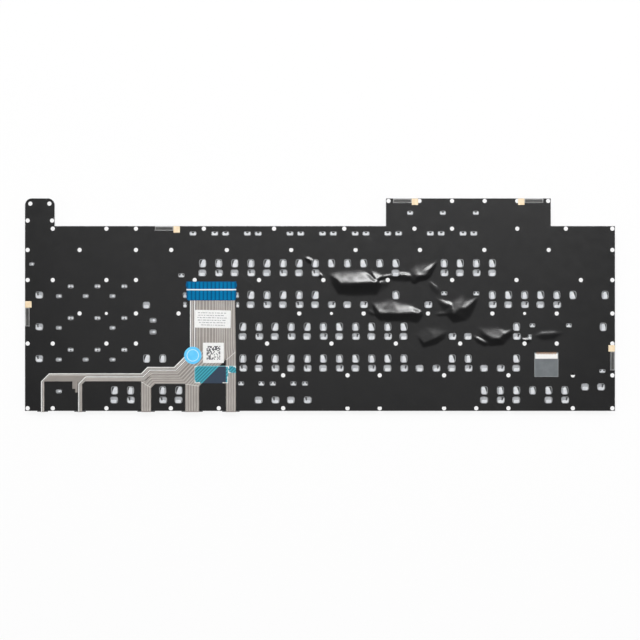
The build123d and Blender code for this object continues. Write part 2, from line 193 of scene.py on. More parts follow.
@dataclass(frozen=True)
class Finish:
    """A finish with a mottled colour, a range of roughness and a fine grain."""

    name: str
    slot: str
    colour: Colour
    tint: Colour
    mottle: float = 250.0
    roughness: tuple[float, float] = (0.4, 0.55)
    grain: float = 4000.0
    bump: float = 0.15
    metallic: float = 0.0
    specular: float = 0.5
    coat: float = 0.0

    def build(self) -> bpy.types.Material:
        """Makes the material once, and finds it again after that."""
        found = bpy.data.materials.get(self.name + "_finish")
        if found:
            return found
        graph = Graph(self.name + "_finish")
        mottle = graph.noise(self.mottle).above(0.5, 0.22)
        graph.feed("Base Color", self.paint(graph, graph.mix(mottle, self.colour, self.tint)))
        graph.feed("Roughness", self.gloss(graph, graph.noise(self.mottle * 2.7).spread(*self.roughness)))
        relief = self.relief(graph, graph.noise(self.grain, 2.0))
        height = {"Height": relief, "Strength": self.bump, "Distance": 0.0001}
        graph.feed("Normal", graph.add("ShaderNodeBump", {}, height))
        graph.feed("Metallic", self.metallic)
        graph.feed("Specular IOR Level", self.specular)
        graph.feed("Coat Weight", self.coat)
        return graph.material

    def paint(self, graph: Graph, base: Value) -> Value:
        """The colour over the surface, from the mottled base."""
        return base

    def gloss(self, graph: Graph, base: Value) -> Value:
        """The roughness over the surface, from the mottled base."""
        return base

    def relief(self, graph: Graph, base: Value) -> Value:
        """The height of the fine grain, from its noise."""
        return base


@dataclass(frozen=True)
class FilmFinish(Finish):
    """Thin black film with crossing hair scratches and dull, handled patches."""

    scratch_colour: Colour = (0.04, 0.04, 0.042)
    scratch_share: float = 0.12
    scratch_dullness: float = 0.04

    def scratches(self, graph: Graph) -> Value:
        """Fine lines in two slanted directions."""
        lines = graph.noise(1400.0, 2.0, (34.0, 1.0, 1.0), math.radians(-41)).above(0.68, 0.05)
        cross = graph.noise(1300.0, 2.0, (26.0, 1.0, 1.0), math.radians(36)).above(0.7, 0.05)
        handled = graph.noise(24.0, 1.0).above(0.54, 0.1)
        return (lines + cross * 0.7) * handled

    def paint(self, graph: Graph, base: Value) -> Value:
        """Scratches are a little paler than the film."""
        return graph.mix(self.scratches(graph) * self.scratch_share, base, self.scratch_colour)

    def gloss(self, graph: Graph, base: Value) -> Value:
        """Scratches and handled patches are duller."""
        return base + self.scratches(graph) * self.scratch_dullness


@dataclass(frozen=True)
class CoverFinish(Finish):
    """Clear teal film: bright over the pale ribbon, dark over the black film."""

    dark: Colour = (0.03, 0.05, 0.085)
    line: Colour = (0.012, 0.13, 0.18)
    line_share: float = 0.85
    line_pitch: float = 1.4
    slant_scale: float = 1.41
    diagonal: float = 0.0
    edge: float = 0.0

    def paint(self, graph: Graph, base: Value) -> Value:
        """Stripes along the slanted tracks, and a dark field where no ribbon lies under the film."""
        x, y, _ = graph.axes()
        slant = x - y
        turns = slant * (math.tau / self.line_pitch / self.slant_scale)
        stripe = graph.add("ShaderNodeMath", {"operation": "SINE"}, {0: turns})
        lined = graph.mix(stripe.above(0.1, 0.5) * self.line_share, base, self.line)
        bare = slant.above(self.diagonal, 0.15) * (1 - x.above(self.edge, 0.1))
        return graph.mix(bare, lined, self.dark)


@dataclass(frozen=True)
class BrushedFinish(Finish):
    """Rolled sheet metal with fine lines along X."""

    def gloss(self, graph: Graph, base: Value) -> Value:
        """Rolling lines change the gloss."""
        return base + graph.noise(2500.0, 2.0, (50.0, 1.0, 1.0)).spread(-0.08, 0.08)


FILM = FilmFinish(
    "black_film", "back_film", (0.0045, 0.0045, 0.0049), (0.0068, 0.0067, 0.007), 70.0, (0.17, 0.25), 2600.0, 0.04,
    specular=0.85,
)
GUIDE = Finish("white_guide", "light_guide", (0.4, 0.41, 0.42), (0.34, 0.35, 0.36), 300.0, (0.35, 0.5))
PLATE = BrushedFinish(
    "plate_metal", "plate_metal", (0.46, 0.46, 0.47), (0.38, 0.38, 0.39), 150.0, (0.4, 0.55), 3000.0, 0.1, 0.55
)
SHEET = Finish("membrane_sheet", "membrane", (0.05, 0.05, 0.052), (0.035, 0.035, 0.037), 200.0, (0.4, 0.55))
FOOT = Finish("link_white", "light_guide", (0.78, 0.79, 0.81), (0.62, 0.64, 0.67), 420.0, (0.4, 0.5), 5000.0, 0.2)
# Grey of the lower step of a link foot: painted shade, darker than the white feet where the deeper step lies in
# shade.
STEP_SHADE = Finish("link_step", "light_guide", (0.34, 0.35, 0.37), (0.46, 0.47, 0.49), 420.0, (0.4, 0.5), 5000.0, 0.2)
LINK = Finish("link_pale", "light_guide", (0.72, 0.72, 0.71), (0.62, 0.62, 0.62), 300.0, (0.45, 0.6))
RIBBON = Finish(
    "ribbon_grey", "membrane", (0.26, 0.236, 0.215), (0.31, 0.282, 0.26), 120.0, (0.3, 0.45), 2500.0, 0.08
)
TRACK = Finish(
    "silver_track", "membrane", (0.51, 0.475, 0.445), (0.44, 0.405, 0.378), 160.0, (0.32, 0.45), 5000.0, 0.1
)
WHITE_INK = Finish("white_ink", "label_paper", (0.94, 0.93, 0.9), (0.88, 0.87, 0.84), 500.0, (0.45, 0.6))
BLUE = Finish(
    "stiffener_blue", "stiffener_blue", (0.0, 0.09, 0.22), (0.0, 0.1, 0.25), 180.0, (0.4, 0.5), 3000.0, 0.08,
    specular=0.06
)
BLUE_RIB = Finish(
    "stiffener_rib", "stiffener_blue", (0.0, 0.165, 0.37), (0.0, 0.185, 0.41), 180.0, (0.4, 0.5), 3000.0, 0.08,
    specular=0.06
)
PAPER = Finish("label_paper", "label_paper", (0.9, 0.9, 0.89), (0.84, 0.84, 0.83), 700.0, (0.6, 0.75), 6000.0, 0.35)
INK = Finish("grey_ink", "label_paper", (0.28, 0.28, 0.29), (0.42, 0.42, 0.43), 1500.0, (0.6, 0.7))
DARK_INK = Finish("dark_ink", "label_paper", (0.09, 0.09, 0.1), (0.16, 0.16, 0.17), 1500.0, (0.6, 0.7))
PALE_CYAN = Finish("cover_border", "cover_teal", (0.32, 0.7, 0.78), (0.26, 0.64, 0.72), 400.0, (0.35, 0.5))
STICKER = Finish(
    "sticker_blue", "sticker_blue", (0.1, 0.56, 0.95), (0.13, 0.62, 0.97), 300.0, (0.4, 0.55), 5000.0, 0.15
)
STICKER_RING = Finish("sticker_ring", "sticker_blue", (0.62, 0.86, 0.99), (0.55, 0.82, 0.98), 300.0, (0.4, 0.55))
CABLE = Finish(
    "cable_grey", "cable_grey", (0.14, 0.155, 0.165), (0.17, 0.185, 0.195), 300.0, (0.3, 0.42), 3500.0, 0.1
)
CABLE_EDGE = Finish("cable_edge", "cable_grey", (0.27, 0.285, 0.29), (0.22, 0.235, 0.24), 400.0, (0.3, 0.45))
GOLD = Finish(
    "contact_gold", "cable_grey", (0.55, 0.33, 0.2), (0.45, 0.26, 0.15), 900.0, (0.25, 0.4), 5000.0, 0.1, 0.85
)
STRIP = Finish("strip_grey", "light_strip", (0.045, 0.045, 0.044), (0.07, 0.07, 0.068), 500.0, (0.3, 0.42))
STRIP_RIM = Finish("strip_rim", "light_strip", (0.16, 0.16, 0.155), (0.24, 0.24, 0.23), 700.0, (0.35, 0.5))
TAPE = Finish("tape_tan", "tape_tan", (0.86, 0.66, 0.42), (0.93, 0.78, 0.56), 500.0, (0.45, 0.6), 4000.0, 0.3)
GUARD = Finish("guard_foam", "edge_guard", (0.06, 0.06, 0.062), (0.04, 0.04, 0.041), 600.0, (0.7, 0.85), 3000.0, 0.6)
CAP = Finish("cap_black", "keycap", (0.02, 0.02, 0.021), (0.026, 0.026, 0.027), 300.0, (0.5, 0.62), 5500.0, 0.35)
RUBBER = Finish(
    "dome_silicone", "dome_rubber", (0.72, 0.74, 0.74), (0.62, 0.64, 0.65), 400.0, (0.4, 0.55), 3000.0, 0.1
)


# Mesh building


class Shape:
    """Vertices and faces that grow into one mesh."""

    def __init__(self) -> None:
        """Starts empty."""
        self.points: list[tuple[float, float, float]] = []
        self.faces: list[tuple[int, ...]] = []

    def stack(self, rings: Sequence[Sequence[Sequence[float]]]) -> "Shape":
        """Adds a closed body through rings of equal counts, capped at both ends.

        Args:
            rings: Loops of points in millimetres, from one end to the other.

        Returns:
            This shape.
        """
        start, count = len(self.points), len(rings[0])
        for ring in rings:
            self.points.extend((x * MM, y * MM, z * MM) for x, y, z in ring)
        for level in range(len(rings) - 1):
            low = start + level * count
            for i in range(count):
                j = (i + 1) % count
                self.faces.append((low + i, low + j, low + count + j, low + count + i))
        self.faces.append(tuple(range(start + count - 1, start - 1, -1)))
        end = start + (len(rings) - 1) * count
        self.faces.append(tuple(range(end, end + count)))
        return self

    def prism(self, outline: Sequence[Point2], low: float, high: float) -> "Shape":
        """Adds an upright body between two heights in millimetres."""
        return self.stack([[(x, y, z) for x, y in outline] for z in (low, high)])

    def hoop(self, rings: Sequence[Sequence[Sequence[float]]]) -> "Shape":
        """Adds a closed body through rings of equal counts, the last joined to the first.

        Args:
            rings: Loops of points in millimetres, in order.

        Returns:
            This shape.
        """
        start, count = len(self.points), len(rings[0])
        for level, ring in enumerate(rings):
            self.points.extend((x * MM, y * MM, z * MM) for x, y, z in ring)
            here, ahead = start + level * count, start + ((level + 1) % len(rings)) * count
            for i in range(count):
                j = (i + 1) % count
                self.faces.append((here + i, here + j, ahead + j, ahead + i))
        return self

    def slab(
        self, middle: Point2, size: Point2, low: float, high: float, round_: float, edge: float = 0.0
    ) -> "Shape":
        """Adds a rounded rectangular body.

        Args:
            middle: Its centre.
            size: Its width and depth.
            low: Height of its bottom.
            high: Height of its top.
            round_: Radius of its corners.
            edge: Size of the softened edge at its top.

        Returns:
            This shape.
        """
        levels = [(low, 0.0), (high - edge, 0.0)]
        levels += [(high - edge * 0.3, edge * 0.3), (high, edge)] if edge else []
        rings = []
        for z, inset in levels:
            inner = (size[0] - 2 * inset, size[1] - 2 * inset)
            loop = rounded_rectangle(middle, inner, max(round_ - inset, 0.02))
            rings.append([(x, y, z) for x, y in loop])
        return self.stack(rings)

    def mesh(self, name: str) -> bpy.types.Mesh:
        """The mesh, with its faces pointing outwards."""
        made = bpy.data.meshes.new(name)
        made.from_pydata(self.points, [], self.faces)
        body = bmesh.new()
        body.from_mesh(made)
        bmesh.ops.recalc_face_normals(body, faces=body.faces)
        body.to_mesh(made)
        body.free()
        return made


def rounded_rectangle(middle: Point2, size: Point2, radius: float, steps: int = 3) -> list[Point2]:
    """A rectangle with round corners, anticlockwise.

    Args:
        middle: Its centre.
        size: Its width and depth.
        radius: Of its corners.
        steps: Segments in each corner.

    Returns:
        Its points.
    """
    points = []
    reach_x, reach_y = size[0] / 2 - radius, size[1] / 2 - radius
    for quarter, (sx, sy) in enumerate(((1, 1), (-1, 1), (-1, -1), (1, -1))):
        for i in range(steps + 1):
            angle = math.pi / 2 * (quarter + i / steps)
            x = middle[0] + sx * reach_x + radius * math.cos(angle)
            y = middle[1] + sy * reach_y + radius * math.sin(angle)
            points.append((x, y))
    return points


def circle(middle: Point2, radius: float, sides: int) -> list[Point2]:
    """A round outline of a number of sides."""
    turns = [math.tau * i / sides for i in range(sides)]
    return [(middle[0] + radius * math.cos(a), middle[1] + radius * math.sin(a)) for a in turns]


def holder(name: str, mesh: bpy.types.Mesh) -> bpy.types.Object:
    """An object of the scene for a mesh."""
    made = bpy.data.objects.new(name, mesh)
    bpy.context.scene.collection.objects.link(made)
    return made


def piece(
    name: str,
    form: Shape | bpy.types.Mesh,
    finish: Finish,
    stands_for: Iterable[str] = (),
    body: str = BOARD,
    smooth: float = 0.0,
) -> bpy.types.Object:
    """Places a finished piece of the object.

    Args:
        name: Of the piece.
        form: Its shape or mesh, in place.
        finish: Its finish.
        stands_for: The CAD nodes that it replaces.
        body: The body that it rides on.
        smooth: Edges above this angle in degrees stay sharp. With 0 every face is flat.

    Returns:
        The piece.
    """
    mesh = form.mesh(name) if isinstance(form, Shape) else form
    if smooth:
        mesh.shade_smooth()
        mesh.set_sharp_from_angle(angle=math.radians(smooth))
    made = holder(name, mesh)
    if not mesh.materials:
        mesh.materials.append(finish.build())
    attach(made, body)
    names = list(stands_for)
    if names:
        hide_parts(*names)
    LOG.info("%s: %d faces on %s", name, len(mesh.polygons), body)
    return made


def millimetres(node: str) -> tuple[Vector, Vector]:
    """The box of a CAD node in millimetres."""
    low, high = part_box(node)
    return low / MM, high / MM


def joined_copy(node: str) -> bmesh.types.BMesh:
    """A copy of a CAD node's mesh with its doubled points merged."""
    body = bmesh.new()
    body.from_mesh(frame["nodes"][node].data)
    bmesh.ops.remove_doubles(body, verts=body.verts, dist=1e-6)
    return body


def loose_boxes(node: str) -> list[tuple[np.ndarray, np.ndarray]]:
    """The boxes of a node's separate bodies, in millimetres."""
    body = joined_copy(node)
    boxes = []
    for group in flood(body.faces):
        points = np.array([v.co for v in group]) / MM
        boxes.append((points.min(0), points.max(0)))
    body.free()
    return boxes


def flood(faces: Iterable[bmesh.types.BMFace]) -> list[list[bmesh.types.BMVert]]:
    """Groups faces that share edges, and gives the points of each group."""
    left = set(faces)
    groups = []
    while left:
        queue = [left.pop()]
        found = set(queue[0].verts)
        while queue:
            for edge in queue.pop().edges:
                for other in edge.link_faces:
                    if other in left:
                        left.remove(other)
                        queue.append(other)
                        found.update(other.verts)
        groups.append(list(found))
    return groups


# Geometry node tools


class Tool:
    """A geometry node tree with named inputs."""

    KINDS = {"object": "NodeSocketObject", "number": "NodeSocketFloat", "finish": "NodeSocketMaterial"}

    def __init__(self, name: str, inputs: dict[str, str]) -> None:
        """Starts a tree that takes a mesh and named inputs.

        Args:
            name: Of the tree.
            inputs: Kind of each input, by name.
        """
        self.tree = bpy.data.node_groups.new(name, "GeometryNodeTree")
        face = self.tree.interface
        face.new_socket("Mesh", in_out="INPUT", socket_type="NodeSocketGeometry")
        for key, kind in inputs.items():
            face.new_socket(key, in_out="INPUT", socket_type=self.KINDS[kind])
        face.new_socket("Mesh", in_out="OUTPUT", socket_type="NodeSocketGeometry")
        self.start = self.tree.nodes.new("NodeGroupInput")
        self.end = self.tree.nodes.new("NodeGroupOutput")

    def add(self, kind: str, settings: dict[str, Any] | None = None, **inputs: Any) -> bpy.types.Node:
        """Adds a node; an input may be a socket to link or a plain value."""
        node = self.tree.nodes.new(kind)
        for name, value in (settings or {}).items():
            setattr(node, name, value)
        for name, value in inputs.items():
            socket = node.inputs[name.replace("_", " ")]
            for each in value if isinstance(value, list) else [value]:
                if isinstance(each, bpy.types.NodeSocket):
                    self.tree.links.new(each, socket)
                else:
                    socket.default_value = each
        return node

    def inside(self, key: str) -> bpy.types.NodeSocket:
        """Adds the node that reads the mesh of an object that the tree takes."""
        source = self.start.outputs[key]
        node = self.add("GeometryNodeObjectInfo", {"transform_space": "ORIGINAL"}, Object=source)
        return node.outputs["Geometry"]

    def finish(self, shape: bpy.types.NodeSocket) -> None:
        """Ends the tree: instances made real, then the finish."""
        real = self.add("GeometryNodeRealizeInstances", Geometry=shape).outputs[0]
        dressed = self.add("GeometryNodeSetMaterial", Geometry=real, Material=self.start.outputs["Finish"])
        self.tree.links.new(dressed.outputs[0], self.end.inputs[0])

    def run(self, name: str, mesh: bpy.types.Mesh, values: dict[str, Any]) -> bpy.types.Mesh:
        """Runs the tree on a mesh.

        Args:
            name: Of the result.
            mesh: What the tree starts from.
            values: Of its named inputs.

        Returns:
            A plain mesh.
        """
        host = holder(name + ".host", mesh)
        modifier = host.modifiers.new("tool", "NODES")
        modifier.node_group = self.tree
        for item in self.tree.interface.items_tree:
            if item.name in values:
                modifier[item.identifier] = values[item.name]
        depsgraph = bpy.context.evaluated_depsgraph_get()
        made = bpy.data.meshes.new_from_object(host.evaluated_get(depsgraph))
        made.name = name
        made.materials.clear()
        made.materials.append(values["Finish"])
        made.polygons.foreach_set("material_index", [0] * len(made.polygons))
        host.modifiers.remove(modifier)
        bpy.data.objects.remove(host)
        return made


def scattered(tool: Tool, places: bpy.types.NodeSocket, shape: str) -> bpy.types.NodeSocket:
    """Adds nodes that set a shape at each point, with the point's own span and turn."""
    span = tool.add("GeometryNodeInputNamedAttribute", {"data_type": "FLOAT_VECTOR"}, Name="span")
    turn = tool.add("GeometryNodeInputNamedAttribute", {"data_type": "FLOAT"}, Name="turn")
    angle = tool.add("ShaderNodeCombineXYZ", Z=turn.outputs[0])
    spread = tool.add(
        "GeometryNodeInstanceOnPoints",
        Points=places,
        Instance=tool.inside(shape),
        Rotation=angle.outputs[0],
        Scale=span.outputs[0],
    )
    return spread.outputs[0]


def make_scatter() -> Tool:
    """The tool that repeats one small shape over marked places."""
    tool = Tool("Scatter", {"Shape": "object", "Finish": "finish"})
    tool.finish(scattered(tool, tool.start.outputs["Mesh"], "Shape"))
    return tool


def make_punch() -> Tool:
    """The tool that punches round holes and windows through a sheet."""
    kinds = {"Rounds": "object", "Windows": "object", "Round punch": "object", "Window punch": "object"}
    tool = Tool("Punch", kinds | {"Finish": "finish"})
    cutters = []
    for places, shape in (("Rounds", "Round punch"), ("Windows", "Window punch")):
        spread = scattered(tool, tool.inside(places), shape)
        cutters.append(tool.add("GeometryNodeRealizeInstances", Geometry=spread).outputs[0])
    cut = tool.add(
        "GeometryNodeMeshBoolean",
        {"operation": "DIFFERENCE", "solver": "MANIFOLD"},
        Mesh_1=tool.start.outputs["Mesh"],
        Mesh_2=cutters,
    )
    tool.finish(cut.outputs[0])
    return tool


def make_trim() -> Tool:
    """The tool that keeps what lies inside an upright outline."""
    tool = Tool("Trim", {"Outline": "object", "Finish": "finish"})
    cut = tool.add(
        "GeometryNodeMeshBoolean",
        {"operation": "INTERSECT", "solver": "MANIFOLD"},
        Mesh_2=[tool.start.outputs["Mesh"], tool.inside("Outline")],
    )
    tool.finish(cut.outputs[0])
    return tool


def make_tracer() -> Tool:
    """The tool that lays flat tracks along lines."""
    tool = Tool("Tracer", {"Width": "number", "Thickness": "number", "Finish": "finish"})
    curve = tool.add("GeometryNodeMeshToCurve", Mesh=tool.start.outputs["Mesh"])
    upright = tool.add("GeometryNodeSetCurveNormal", {"mode": "Z_UP"}, Curve=curve.outputs[0])
    profile = tool.add(
        "GeometryNodeCurvePrimitiveQuadrilateral",
        Width=tool.start.outputs["Width"],
        Height=tool.start.outputs["Thickness"],
    )
    swept = tool.add(
        "GeometryNodeCurveToMesh",
        Curve=upright.outputs[0],
        Profile_Curve=profile.outputs[0],
        Fill_Caps=True,
    )
    tool.finish(swept.outputs[0])
    return tool


@dataclass(frozen=True)
class Mark:
    """A place for a repeated shape: its centre, its size and its turn."""

    at: tuple[float, float, float]
    span: tuple[float, float, float] = (1.0, 1.0, 1.0)
    turn: float = 0.0


def marks_mesh(name: str, marks: Sequence[Mark]) -> bpy.types.Mesh:
    """Points with a span and a turn each, in metres."""
    made = bpy.data.meshes.new(name)
    made.from_pydata([tuple(v * MM for v in mark.at) for mark in marks], [], [])
    made.attributes.new("span", "FLOAT_VECTOR", "POINT")
    made.attributes.new("turn", "FLOAT", "POINT")
    made.attributes["span"].data.foreach_set("vector", [v for mark in marks for v in mark.span])
    made.attributes["turn"].data.foreach_set("value", [mark.turn for mark in marks])
    return made


class Workshop:
    """The node tools and the small shapes that they repeat."""

    def __init__(self) -> None:
        """Makes the tools and the two punches of unit size."""
        self.scatter = make_scatter()
        self.punch = make_punch()
        self.trim = make_trim()
        self.tracer = make_tracer()
        self.round_punch = self.unit_punch("round_punch", circle((0, 0), 0.5, 20))
        self.window_punch = self.unit_punch("window_punch", rounded_rectangle((0, 0), (1, 1), 0.3))

    @staticmethod
    def unit_punch(name: str, outline: Sequence[Point2]) -> bpy.types.Object:
        """An upright punch one unit high, from an outline of unit size."""
        unit = 1 / MM
        loop = [(x * unit, y * unit) for x, y in outline]
        return holder(name, Shape().prism(loop, -0.5 * unit, 0.5 * unit).mesh(name))

    def repeat(self, name: str, shape: Shape, marks: Sequence[Mark], finish: Finish) -> bpy.types.Mesh:
        """Sets a small shape at every mark.

        Args:
            name: Of the result.
            shape: The small shape, about its own origin.
            marks: Where it goes.
            finish: Its finish.

        Returns:
            One plain mesh.
        """
        source = holder(name + ".shape", shape.mesh(name + ".shape"))
        values = {"Shape": source, "Finish": finish.build()}
        made = self.scatter.run(name, marks_mesh(name + ".marks", marks), values)
        bpy.data.objects.remove(source)
        return made

    def punched(
        self,
        name: str,
        sheet: bpy.types.Mesh,
        rounds: Sequence[Mark],
        windows: Sequence[Mark],
        finish: Finish,
    ) -> bpy.types.Mesh:
        """Punches a closed sheet.

        Args:
            name: Of the result.
            sheet: The closed sheet.
            rounds: Round holes, with spans in metres.
            windows: Rounded windows, with spans in metres.
            finish: Of the result.

        Returns:
            One plain mesh.
        """
        sets = {name + ".rounds": rounds, name + ".windows": windows}
        places = [holder(key, marks_mesh(key, marks)) for key, marks in sets.items()]
        values = {
            "Rounds": places[0],
            "Windows": places[1],
            "Round punch": self.round_punch,
            "Window punch": self.window_punch,
            "Finish": finish.build(),
        }
        made = self.punch.run(name, sheet, values)
        for place in places:
            bpy.data.objects.remove(place)
        return made

    def trimmed(
        self, name: str, sheet: bpy.types.Mesh, outline: bpy.types.Mesh, finish: Finish
    ) -> bpy.types.Mesh:
        """Keeps the part of a closed sheet inside an upright outline."""
        rim = holder(name + ".rim", outline)
        made = self.trim.run(name, sheet, {"Outline": rim, "Finish": finish.build()})
        bpy.data.objects.remove(rim)
        return made

    def traced(
        self,
        name: str,
        lines: Sequence[Sequence[Point2]],
        z: float,
        width: float,
        thickness: float,
        finish: Finish,
    ) -> bpy.types.Mesh:
        """Lays flat tracks along lines at one height.

        Args:
            name: Of the result.
            lines: Paths in millimetres.
            z: Height of the tracks' middle.
            width: Of each track.
            thickness: Of each track.
            finish: Their finish.

        Returns:
            One plain mesh.
        """
        points: list[tuple[float, float, float]] = []
        edges: list[tuple[int, int]] = []
        for line in lines:
            start = len(points)
            points.extend((x * MM, y * MM, z * MM) for x, y in line)
            edges.extend((start + i, start + i + 1) for i in range(len(line) - 1))
        paths = bpy.data.meshes.new(name + ".paths")
        paths.from_pydata(points, edges, [])
        values = {"Width": width * MM, "Thickness": thickness * MM, "Finish": finish.build()}
        return self.tracer.run(name, paths, values)

    def close(self) -> None:
        """Removes the punches."""
        for punch in (self.round_punch, self.window_punch):
            bpy.data.objects.remove(punch)


# Openings and keys, as the solids have them


class WindowKind(Enum):
    """The windows of the back film, by what shows in them."""

    UPPER = "upper"
    LOWER = "lower"
    SLOT = "slot"


@dataclass(frozen=True)
class Window:
    """One window of the film, in millimetres."""

    UPPER_DEPTH = 4.4
    LOWER_DEPTH = 3.5

    x: float
    y: float
    width: float
    depth: float

    @property
    def kind(self) -> WindowKind:
        """What shows in it, by its depth."""
        if self.depth > self.UPPER_DEPTH:
            return WindowKind.UPPER
        return WindowKind.LOWER if self.depth > self.LOWER_DEPTH else WindowKind.SLOT


@dataclass(frozen=True)
class KeySpot:
    """One key: the node that carries it, and its skirt's box in millimetres."""

    node: str
    x: float
    y: float
    width: float
    depth: float

    @property
    def moves(self) -> bool:
        """Whether the key has a body of its own."""
        return self.node.startswith("key_")

    @property
    def joint(self) -> str:
        """The name of the key's joint."""
        return "press_" + self.node.removeprefix("key_")


class Layout:
    """Openings of the film and places of the keys, read from the solids."""

    UPRIGHT = 0.2
    LARGEST_HOLE = 2.7
    LARGEST_WINDOW = 20.0
    HOLE = 2.6
    SMALL_HOLE = 1.8
    HOLE_REACH = 1.5
    COVER_REACH = 2.5
    SMALL_HOLES: tuple[Point2, ...] = ((7.0, -5.5), (121.3, -5.5), (-126.5, -5.0))
    HOOK_SLOTS: tuple[tuple[float, float, float, float], ...] = (
        (53.3, 54.6, 3.6, 2.4), (72.7, 54.6, 3.6, 2.4), (92.2, 54.6, 3.6, 2.4), (73.5, 7.0, 3.6, 2.4),
        (92.5, 6.9, 3.6, 2.4), (125.7, -12.0, 3.4, 2.4), (147.3, -12.0, 3.4, 2.4), (124.2, -18.9, 2.3, 3.2),
        (167.6, -12.9, 4.1, 4.9), (167.1, -39.0, 3.6, 2.3), (-98.8, -9.0, 3.9, 2.8), (-98.8, -15.9, 4.0, 2.9),
        (-102.7, 0.0, 4.2, 4.0), (-82.0, 17.6, 3.6, 2.4), (-46.7, -46.4, 3.6, 2.4), (-170.6, 24.3, 3.0, 2.0),
        (-79.9, 5.9, 2.2, 3.4), (-79.9, 0.2, 2.2, 3.4), (-48.9, 5.9, 1.8, 3.4), (-48.7, 0.2, 1.8, 3.4),
    )
    COVERED: tuple[Point2, ...] = ((6.5, 19.0), (16.2, 19.0), (25.6, 19.0), (35.5, 19.0), (-138.6, -13.7))

    def __init__(self) -> None:
        """Reads the back film, then the keycaps."""
        self.windows: list[Window] = []
        self.holes: list[Point2] = []
        self.outline: list[Point2] = []
        body = joined_copy("back_film")
        upright = [face for face in body.faces if abs(face.normal.z) < self.UPRIGHT]
        for group in flood(upright):
            points = np.array([v.co for v in group])[:, :2] / MM
            low, high = points.min(0), points.max(0)
            width, depth = high - low
            if max(width, depth) > self.LARGEST_WINDOW:
                self.outline = self.walk(group)
            elif max(width, depth) < self.LARGEST_HOLE:
                self.holes.append(tuple(points.mean(0)))
            elif all(math.dist((low + high) / 2, spot) > self.COVER_REACH for spot in self.COVERED):
                self.windows.append(Window(*((low + high) / 2), width, depth))
        body.free()
        self.windows += [Window(*slot) for slot in self.HOOK_SLOTS]
        self.keys = list(self.read_keys())

    def hole_size(self, x: float, y: float) -> float:
        """The diameter of the hole at a place."""
        near = min(math.hypot(x - a, y - b) for a, b in self.SMALL_HOLES)
        return self.SMALL_HOLE if near < self.HOLE_REACH else self.HOLE

    @classmethod
    def walk(cls, group: Sequence[bmesh.types.BMVert]) -> list[Point2]:
        """The outline's points in order, at the top of its wall."""
        top = max(v.co.z for v in group)
        ring = {v for v in group if v.co.z > top - 1e-5}
        here = next(iter(ring))
        path, before = [here], None
        while True:
            ahead = []
            for edge in here.link_edges:
                other = edge.other_vert(here)
                walls = sum(abs(face.normal.z) < cls.UPRIGHT for face in edge.link_faces)
                if other in ring and other is not before and walls == 1 and len(edge.link_faces) == 2:
                    ahead.append(other)
            before, here = here, ahead[0]
            if here is path[0]:
                return [(v.co.x / MM, v.co.y / MM) for v in path]
            path.append(here)

    @staticmethod
    def read_keys() -> Iterable[KeySpot]:
        """Every keycap, with those of a group told apart."""
        for name in frame["nodes"]:
            if name.startswith("key_") or name.endswith("_keys"):
                for low, high in loose_boxes(name):
                    middle, size = (low + high) / 2, high - low
                    yield KeySpot(name, middle[0], middle[1], size[0], size[1])

    def nearest_key(self, x: float, y: float) -> KeySpot:
        """The key whose middle is nearest to a place."""
        return min(self.keys, key=lambda k: (k.x - x) ** 2 + (k.y - y) ** 2)


# Sub-assemblies


@dataclass(frozen=True)
class Fold:
    """Lifted film in flat facets: a rim on the sheet, and ridges of x, y and height within it."""

    rim: tuple[Point2, ...]
    ridges: tuple[Crest, ...]
    ease: float = 0.25

    @classmethod
    def along(cls, crest: Crest, rise: float, fall: float) -> "Fold":
        """A plain pocket along one crest.

        Args:
            crest: Points of x, y and height, with both ends on the sheet.
            rise: Width of the slope above the crest.
            fall: Width of the slope below it.

        Returns:
            The fold.
        """
        inner = crest[1:-1]
        above = [(x, y + rise) for x, y, _ in inner]
        below = [(x, y - fall) for x, y, _ in reversed(inner)]
        return cls((crest[0][:2], *above, crest[-1][:2], *below), (crest,))

    def facets(self) -> list[np.ndarray]:
        """Its flat triangles, each as three rows of x, y and height."""
        heights = {point: 0.0 for point in self.rim}
        for ridge in self.ridges:
            heights.update({(x, y): up for x, y, up in ridge})
        order = {point: i for i, point in enumerate(heights)}
        rows = [(*point, up) for point, up in heights.items()]
        creases = [(order[a[:2]], order[b[:2]]) for ridge in self.ridges for a, b in zip(ridge, ridge[1:])]
        loop = [order[point] for point in reversed(self.rim)]
        cut = geometry.delaunay_2d_cdt([Vector(point) for point in order], creases, [loop], 1, 1e-6)
        return [np.array([rows[cut[3][i][0]] for i in face]) for face in cut[2]]

    def lift(self, x: np.ndarray, y: np.ndarray) -> np.ndarray:
        """How far the film stands up, with a soft start at the rim.

        Args:
            x: Places in millimetres.
            y: Places in millimetres.

        Returns:
            Heights in millimetres.
        """
        lift = np.zeros_like(x)
        for (ax, ay, az), (bx, by, bz), (cx, cy, cz) in self.facets():
            whole = (bx - ax) * (cy - ay) - (cx - ax) * (by - ay)
            to_b = ((x - ax) * (cy - ay) - (cx - ax) * (y - ay)) / whole
            to_c = ((bx - ax) * (y - ay) - (x - ax) * (by - ay)) / whole
            inside = (to_b >= 0) & (to_c >= 0) & (to_b + to_c <= 1)
            lift = np.where(inside, az + (bz - az) * to_b + (cz - az) * to_c, lift)
        peak = max(up for ridge in self.ridges for _, _, up in ridge)
        return lift**2 / (lift + self.ease * peak) * (1 + self.ease)


